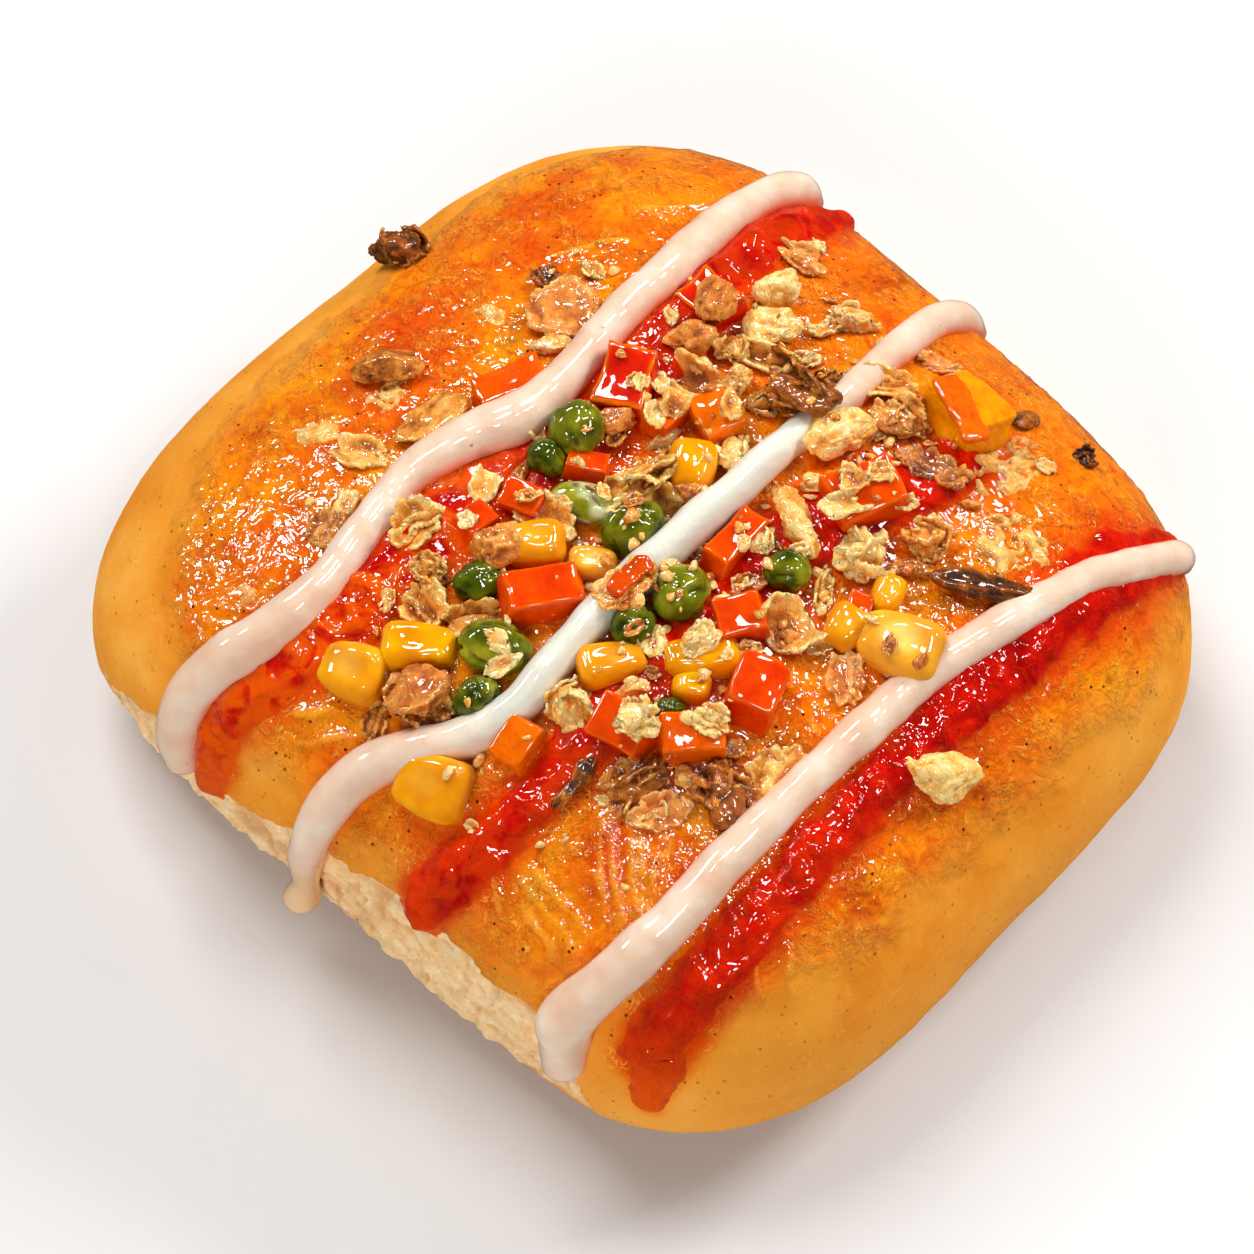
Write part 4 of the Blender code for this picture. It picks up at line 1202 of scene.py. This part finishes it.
def nugget(size, seed, cuts=17):
    """An angular lump: a ball cut by worn flats, with some pits."""
    p, faces = gridded_cube(cuts)
    p = unit(np.tan(p * 0.7))
    numbers = np.random.default_rng(seed)
    flats = unit(numbers.normal(size=(9, 3)))
    depth = numbers.uniform(0.62, 1.0, 9)
    out = np.maximum(p @ flats.T, 0) / depth
    reach = 1 / np.maximum((out**10).sum(axis=1) ** 0.1, 0.8)
    dents = 0.18 * layered(p * 2.0 + seed, 3, seed)
    dents = dents + 0.12 * ridged(warped(p, 0.4, 2, seed) * 2.2, 1, seed + 9)
    local = p * (reach + dents)[:, None] * size / 2
    # Painted shade in the pits and painted light on the bumps.
    return local, faces, smooth(0.08, -0.08, dents) - 0.4 * smooth(0.10, 0.2, dents)


def cluster(size, seed):
    """A crumpled clump: a rough core with frilly scales standing out of it."""
    numbers = np.random.default_rng(seed)
    points, faces, crease = nugget(size * 0.72, seed, 11)
    pieces = [(points, faces, {"crease": crease})]
    for k in range(4):
        points, faces, crease = shell(size * numbers.uniform(0.6, 0.9), seed * 7 + k, 20)
        points = points @ turned(numbers.uniform(0, 360), numbers.uniform(15, 75)).T
        pieces.append((points + numbers.uniform(-0.16, 0.16, 3) * size, faces, {"crease": crease}))
    points, faces, values = join(pieces)
    return points, faces, values["crease"]


def sheet(middle, thickness, crease, cuts):
    """A closed sheet from a square of middle points."""
    edge_a = np.gradient(middle.reshape(cuts, cuts, 3), axis=0).reshape(-1, 3)
    edge_b = np.gradient(middle.reshape(cuts, cuts, 3), axis=1).reshape(-1, 3)
    normal = unit(np.cross(edge_a, edge_b))
    out = normal * thickness[:, None] / 2
    n, m = cuts, cuts * cuts
    quads = grid_quads(n, n)
    quads = np.stack([quads[:, [0, 3, 2, 1]], quads[:, [1, 2, 3, 0]] + m], axis=1).reshape(-1, 4)
    rim = [i * n for i in range(n)] + [(n - 1) * n + j for j in range(1, n)]
    rim += [i * n + n - 1 for i in range(n - 2, -1, -1)] + list(range(n - 2, 0, -1))
    sides = [(b, a, m + a, m + b) for a, b in zip(rim, rim[1:] + rim[:1])]
    return np.vstack([middle + out, middle - out]), np.vstack([quads, sides]), np.tile(crease, 2)


def ragged_disc(seed, cuts):
    """A square of points spread over a disc with a ragged rim, and how near the rim each is."""
    u, v = np.meshgrid(np.linspace(-1, 1, cuts), np.linspace(-1, 1, cuts), indexing="ij")
    u, v = u.ravel(), v.ravel()
    flat = np.stack([u * np.sqrt(1 - v**2 / 2), v * np.sqrt(1 - u**2 / 2), np.zeros(len(u))], axis=1)
    reach = np.hypot(flat[:, 0], flat[:, 1])
    rim = flat / np.maximum(reach, 1e-6)[:, None]
    ragged = 1 + reach**2 * (
        0.30 * layered(rim * 1.2 + seed, 2, seed) + 0.20 * layered(rim * 3.5 + seed, 2, seed + 3)
    )
    return flat * ragged[:, None], reach


def shell(size, seed, cuts=32):
    """A thin crinkled scale of onion with a frilly rim."""
    flat, reach = ragged_disc(seed, cuts)
    thin = min(1.0, size[0] / 4)
    warp = warped(flat, 0.35, 1.8, seed + 20)
    folds = 0.9 * (ridged(warp * np.array([0.8, 1.7, 1]) + seed, 1, seed + 9) - 0.5)
    frill = 0.55 * thin * layered(warp * 2.6 + seed, 2, seed + 11) * smooth(0.3, 1.0, reach)
    bowl = (flat[:, 1] ** 2 * 0.8 + flat[:, 0] ** 2 * 0.3 - 0.5) * size[2] / 2
    middle = np.stack([
        flat[:, 0] * size[0] / 2, flat[:, 1] * size[1] / 2, bowl + folds * size[2] / 3 + frill,
    ], axis=1)
    # Painted shade in the fold valleys and painted light at the rim.
    shade = smooth(0.0, -0.4, folds + frill) - 0.8 * smooth(0.75, 1.0, reach)
    return sheet(middle, thin * (0.50 - 0.22 * reach**3), shade, cuts)


def curl(size, seed, cuts=32):
    """A strip of onion rolled into an open trough, with frilly edges."""
    flat, reach = ragged_disc(seed, cuts)
    bend = 2.0 + 0.5 * layered(flat[:, :1] * np.ones(3) + seed, 1, seed)
    turn = flat[:, 1] * bend
    around = 1 + 0.22 * layered(warped(flat, 0.3, 2, seed) * 2 + seed, 2, seed + 9)
    middle = np.stack([
        flat[:, 0] * size[0] / 2, np.sin(turn) * around * size[1] / 2, -np.cos(turn) * around * size[2] / 2,
    ], axis=1)
    # Painted shade inside the trough and painted light at the rim.
    shade = smooth(0.7, 0.2, reach) - 0.8 * smooth(0.75, 1.0, reach)
    return sheet(middle, 0.55 - 0.20 * reach**3, shade, cuts)


def stick(size, seed, steps=44, sides=22):
    """A long dried strand with fibres along it and tapered ends."""
    u, angle = np.meshgrid(np.linspace(-1, 1, steps), np.arange(sides) / sides * math.tau, indexing="ij")
    u, angle = u.ravel(), angle.ravel()
    twist = angle + 0.8 * u
    ring = np.stack([u * 0.9 + seed, np.cos(twist) * 1.8, np.sin(twist) * 1.8], axis=1)
    fibre = ridged(ring, 2, seed)
    girth = np.sqrt(np.maximum(1 - np.abs(u) ** 2.6, 0.0)) * (0.70 + 0.45 * fibre)
    girth *= 1 + 0.25 * noise(np.stack([u * 2.2 + seed, u * 0, u * 0], axis=1), seed + 3)
    bend = 0.5 * noise(np.stack([u * 1.2 + seed, u * 0, u * 0], axis=1), seed + 5)
    points = np.stack([
        u * size[0] / 2, (np.cos(angle) * girth + bend) * size[1] / 2, np.sin(angle) * girth * size[2] / 2,
    ], axis=1)
    # Painted shade between the fibres.
    return points, grid_quads(steps, sides, True), smooth(0.5, 0.2, fibre)


MAKES = {make.__name__: make for make in (nugget, cluster, shell, curl, stick)}


def turned(heading, lean):
    """The rotation that leans a piece about its length and then turns it to its heading."""
    about_z = Matrix.Rotation(math.radians(heading), 3, "Z")
    return np.array(about_z @ Matrix.Rotation(math.radians(lean), 3, "X"))


def height_finder(objects):
    """A function that gives the height of the highest thing at (x, y)."""
    graph = bpy.context.evaluated_depsgraph_get()
    trees = [BVHTree.FromObject(obj, graph) for obj in objects]

    def height(x, y):
        hits = [tree.ray_cast(Vector((x, y, PROBE_HEIGHT)), Vector((0, 0, -1)))[0] for tree in trees]
        return max((hit.z for hit in hits if hit), default=0.0)

    return height


def square_to_dome(x, y):
    """The rotation that carries +Z to the dome's normal at (x, y), and that normal."""
    up = outward(top_at(x, y)[None])[0]
    return np.array(Vector((0, 0, 1)).rotation_difference(Vector(up)).to_matrix()), up


def set_down(local, x, y, size, heading, height, sunk):
    """Turns a piece and sets it on what lies below its middle part, with sunk mm below."""
    upright, up = square_to_dome(x * MM, y * MM)
    turn = math.radians(heading)
    along = np.array([math.cos(turn), math.sin(turn)]) * size[0] * 0.3 * MM
    across = np.array([-math.sin(turn), math.cos(turn)]) * size[1] * 0.3 * MM
    spots = [np.array([x, y]) * MM + a * along + b * across for a in (-1, 0, 1) for b in (-1, 0, 1)]
    floor = np.percentile([height(*spot) for spot in spots], 55)
    lift = (-np.percentile(local[:, 2], 6) - sunk) * MM
    return np.array([x * MM, y * MM, floor]) + up * lift + (local * MM) @ upright.T


def make_onion(carriers, material):
    height = height_finder(carriers)
    kinds = {make: [] for make in MAKES}
    for i, (x, y, length, width, tall, heading, lean, tone, blush, make) in enumerate(ONION, 1):
        size = np.array([length, width, tall])
        local, faces, crease = MAKES[make](size, i)
        local = local @ turned(heading, lean).T
        points = set_down(local, x, y, size, heading, height, FLAKE_SUNK)
        kinds[make].append((points, faces, {"tone": tone, "crease": crease, "blush": blush}))
    made = []
    for make, pieces in kinds.items():
        made.append(build_mesh(f"onion_{make}s", *join(pieces), material))
    return made


def make_skins(carriers, material, cuts=34):
    """Thin skins that follow what they lie on, with a rim that dips below it."""
    height = height_finder(carriers)
    pieces = []
    for i, (x, y, length, width, tall, heading, tone, blush) in enumerate(SKINS, 1):
        flat, reach = ragged_disc(i + 60, cuts)
        turn = turned(heading, 0)
        spots = (flat * np.array([length / 2, width / 2, 0])) @ turn.T + np.array([x, y, 0])
        warp = warped(spots / 1.9, 0.6, 1.0, i)
        net = ridged(warp, 2, i + 70)
        lift = tall * (net * 1.3 - 0.35) * smooth(1.1, 0.7, reach) - 0.35 * smooth(0.8, 1.0, reach)
        points = np.array([
            (px * MM, py * MM, height(px * MM, py * MM) + up * MM) for (px, py, _), up in zip(spots, lift)
        ])
        faces = grid_quads(cuts, cuts)[:, [0, 3, 2, 1]]
        # Painted shade in the hollows of the net.
        pieces.append((points, faces, {"tone": tone, "crease": smooth(0.4, 0.1, net), "blush": blush}))
    return build_mesh("onion_skins", *join(pieces), material)


def make_strips(carriers, material):
    """Bent slabs of pepper skin."""
    height = height_finder(carriers)
    cube, faces = block(12)
    pieces = []
    for i, (x, y, length, width, tall, heading, tone) in enumerate(RED_STRIPS, 1):
        size = np.array([length, width, tall])
        local = rounded_box(cube, size / 2, size[2] * 0.45)
        local += 0.5 * warps(local / 2.0 + i, i)
        points = set_down(local @ turned(heading, 0).T, x, y, size, heading, height, BIT_SUNK)
        pieces.append((points, faces, {"tone": tone, "edge": 0.0}))
    return build_mesh("pepper_strips", *join(pieces), material)


def scatter(name, count, sizes, make, cuts, carriers, material):
    """Small pieces at random over the heap."""
    height = height_finder(carriers)
    pieces = []
    for i in range(count):
        x = random.gauss(CRUMB_MIDDLE[0], CRUMB_SPREAD[0])
        y = random.gauss(CRUMB_MIDDLE[1], CRUMB_SPREAD[1])
        length = random.uniform(*sizes) * random.uniform(0.6, 1.0)
        size = np.array([length, length * random.uniform(0.5, 0.9), length * random.uniform(0.4, 0.7)])
        if abs(x) > CRUMB_LIMITS[0] or abs(y) > CRUMB_LIMITS[1]:
            continue
        local, faces, crease = make(size, i + 200, cuts)
        heading = random.uniform(0, 360)
        local = local @ turned(heading, random.uniform(-30, 30)).T
        points = set_down(local, x, y, size, heading, height, BIT_SUNK)
        tone = random.choice(CRUMB_TONES)
        pieces.append((points, faces, {"tone": tone, "crease": crease, "blush": random.uniform(0, 0.5)}))
    return build_mesh(name, *join(pieces), material)


# Stage


def picture_axes():
    """Level directions to the right of the picture and away from the camera."""
    turn = math.radians(AZIMUTH)
    return Vector((math.cos(turn), math.sin(turn), 0)), Vector((-math.sin(turn), math.cos(turn), 0))


def area_light(name, right, behind, above, width, depth, power, glossy):
    """A light that only brightens, or one (glossy) that only shows in wet surfaces."""
    data = bpy.data.lights.new(name, "AREA")
    data.shape = "RECTANGLE"
    data.size, data.size_y = width, depth
    data.energy = power
    light = bpy.data.objects.new(name, data)
    light.visible_glossy = glossy
    light.visible_diffuse = not glossy
    across, back = picture_axes()
    where = (across * right + back * behind + Vector((0, 0, above))).normalized()
    light.location = where * LIGHT_DISTANCE + Vector((0, 0, LIGHT_AIM))
    light.rotation_euler = where.to_track_quat("Z", "Y").to_euler()
    bpy.context.scene.collection.objects.link(light)


def make_stage():
    corners = [(x * FLOOR_HALF, y * FLOOR_HALF, 0) for x, y in ((-1, -1), (1, -1), (1, 1), (-1, 1))]
    mesh = bpy.data.meshes.new("floor")
    mesh.from_pydata(corners, [], [(0, 1, 2, 3)])
    mesh.materials.append(floor_material())
    floor = bpy.data.objects.new("floor", mesh)
    bpy.context.scene.collection.objects.link(floor)
    floor.visible_glossy = False
    for name, values in LIGHTS.items():
        area_light(name, *values, False)
    for number, (*where, size, power) in enumerate(GLINTS, 1):
        area_light(f"glint_{number}", *where, size, size, power, True)
    world = bpy.data.worlds.new("world")
    world.use_nodes = True
    background = world.node_tree.nodes["Background"].inputs
    background["Color"].default_value = (1, 1, 1, 1)
    background["Strength"].default_value = WORLD_STRENGTH
    bpy.context.scene.world = world
    bpy.context.scene.view_settings.view_transform = "Standard"


def make_camera():
    el = math.radians(ELEVATION)
    right, behind = picture_axes()
    back = Vector((0, 0, math.sin(el))) - behind * math.cos(el)
    up = back.cross(right)
    aim = Vector((0, 0, AIM_HEIGHT)) + right * AIM_RIGHT + up * AIM_UP
    data = bpy.data.cameras.new("camera")
    data.sensor_width = SENSOR_MM
    data.lens = LENS_MM
    camera = bpy.data.objects.new("camera", data)
    turn = Matrix((right, up, back)).transposed().to_4x4()
    camera.matrix_world = Matrix.Translation(aim + back * DISTANCE) @ turn
    bpy.context.scene.collection.objects.link(camera)
    bpy.context.scene.camera = camera


def main():
    random.seed(RANDOM_SEED)
    roll = make_roll()
    red = red_material()
    ribbons = [make_ribbon(i, line, red) for i, line in enumerate(RED_RIBBONS, 1)]
    white = white_material()
    ropes = [make_rope(i, line, white) for i, line in enumerate(WHITE_ROPES, 1)]
    carrots = cut_material(
        "carrot", ((204, 40, 0), (226, 68, 0)), ((220, 92, 0), (238, 116, 0)), 0.7
    )
    peppers = cut_material(
        "pepper", ((186, 8, 0), (220, 34, 0)), ((228, 130, 0), (244, 162, 0)), 0.9
    )
    vegetables = [
        make_peas(), make_corn(),
        make_dice("carrot", CARROT_TONES, 0.12, carrots), make_dice("pepper", PEPPER_TONES, 0.22, peppers),
    ]
    fried = onion_material()
    skins = make_skins([roll, *ribbons], fried)
    flakes = make_onion([roll, *ribbons, *ropes, *vegetables], fried)
    carriers = [roll, *ribbons, *vegetables]
    crumbs = scatter("onion_crumbs", CRUMBS, CRUMB_SIZES, nugget, CRUMB_CUTS, carriers + flakes, fried)
    bits = scatter("onion_bits", FLAKES, FLAKE_SIZES, shell, FLAKE_CUTS, carriers, fried)
    strips = make_strips([roll, *ropes, *vegetables, *flakes], peppers)
    fused = (roll, *ribbons, *ropes, *flakes, skins, crumbs, bits, strips)
    for piece in fused:
        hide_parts("bun")
    for piece in (*fused, *vegetables):
        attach(piece, "root")
    make_stage()
    make_camera()


main()
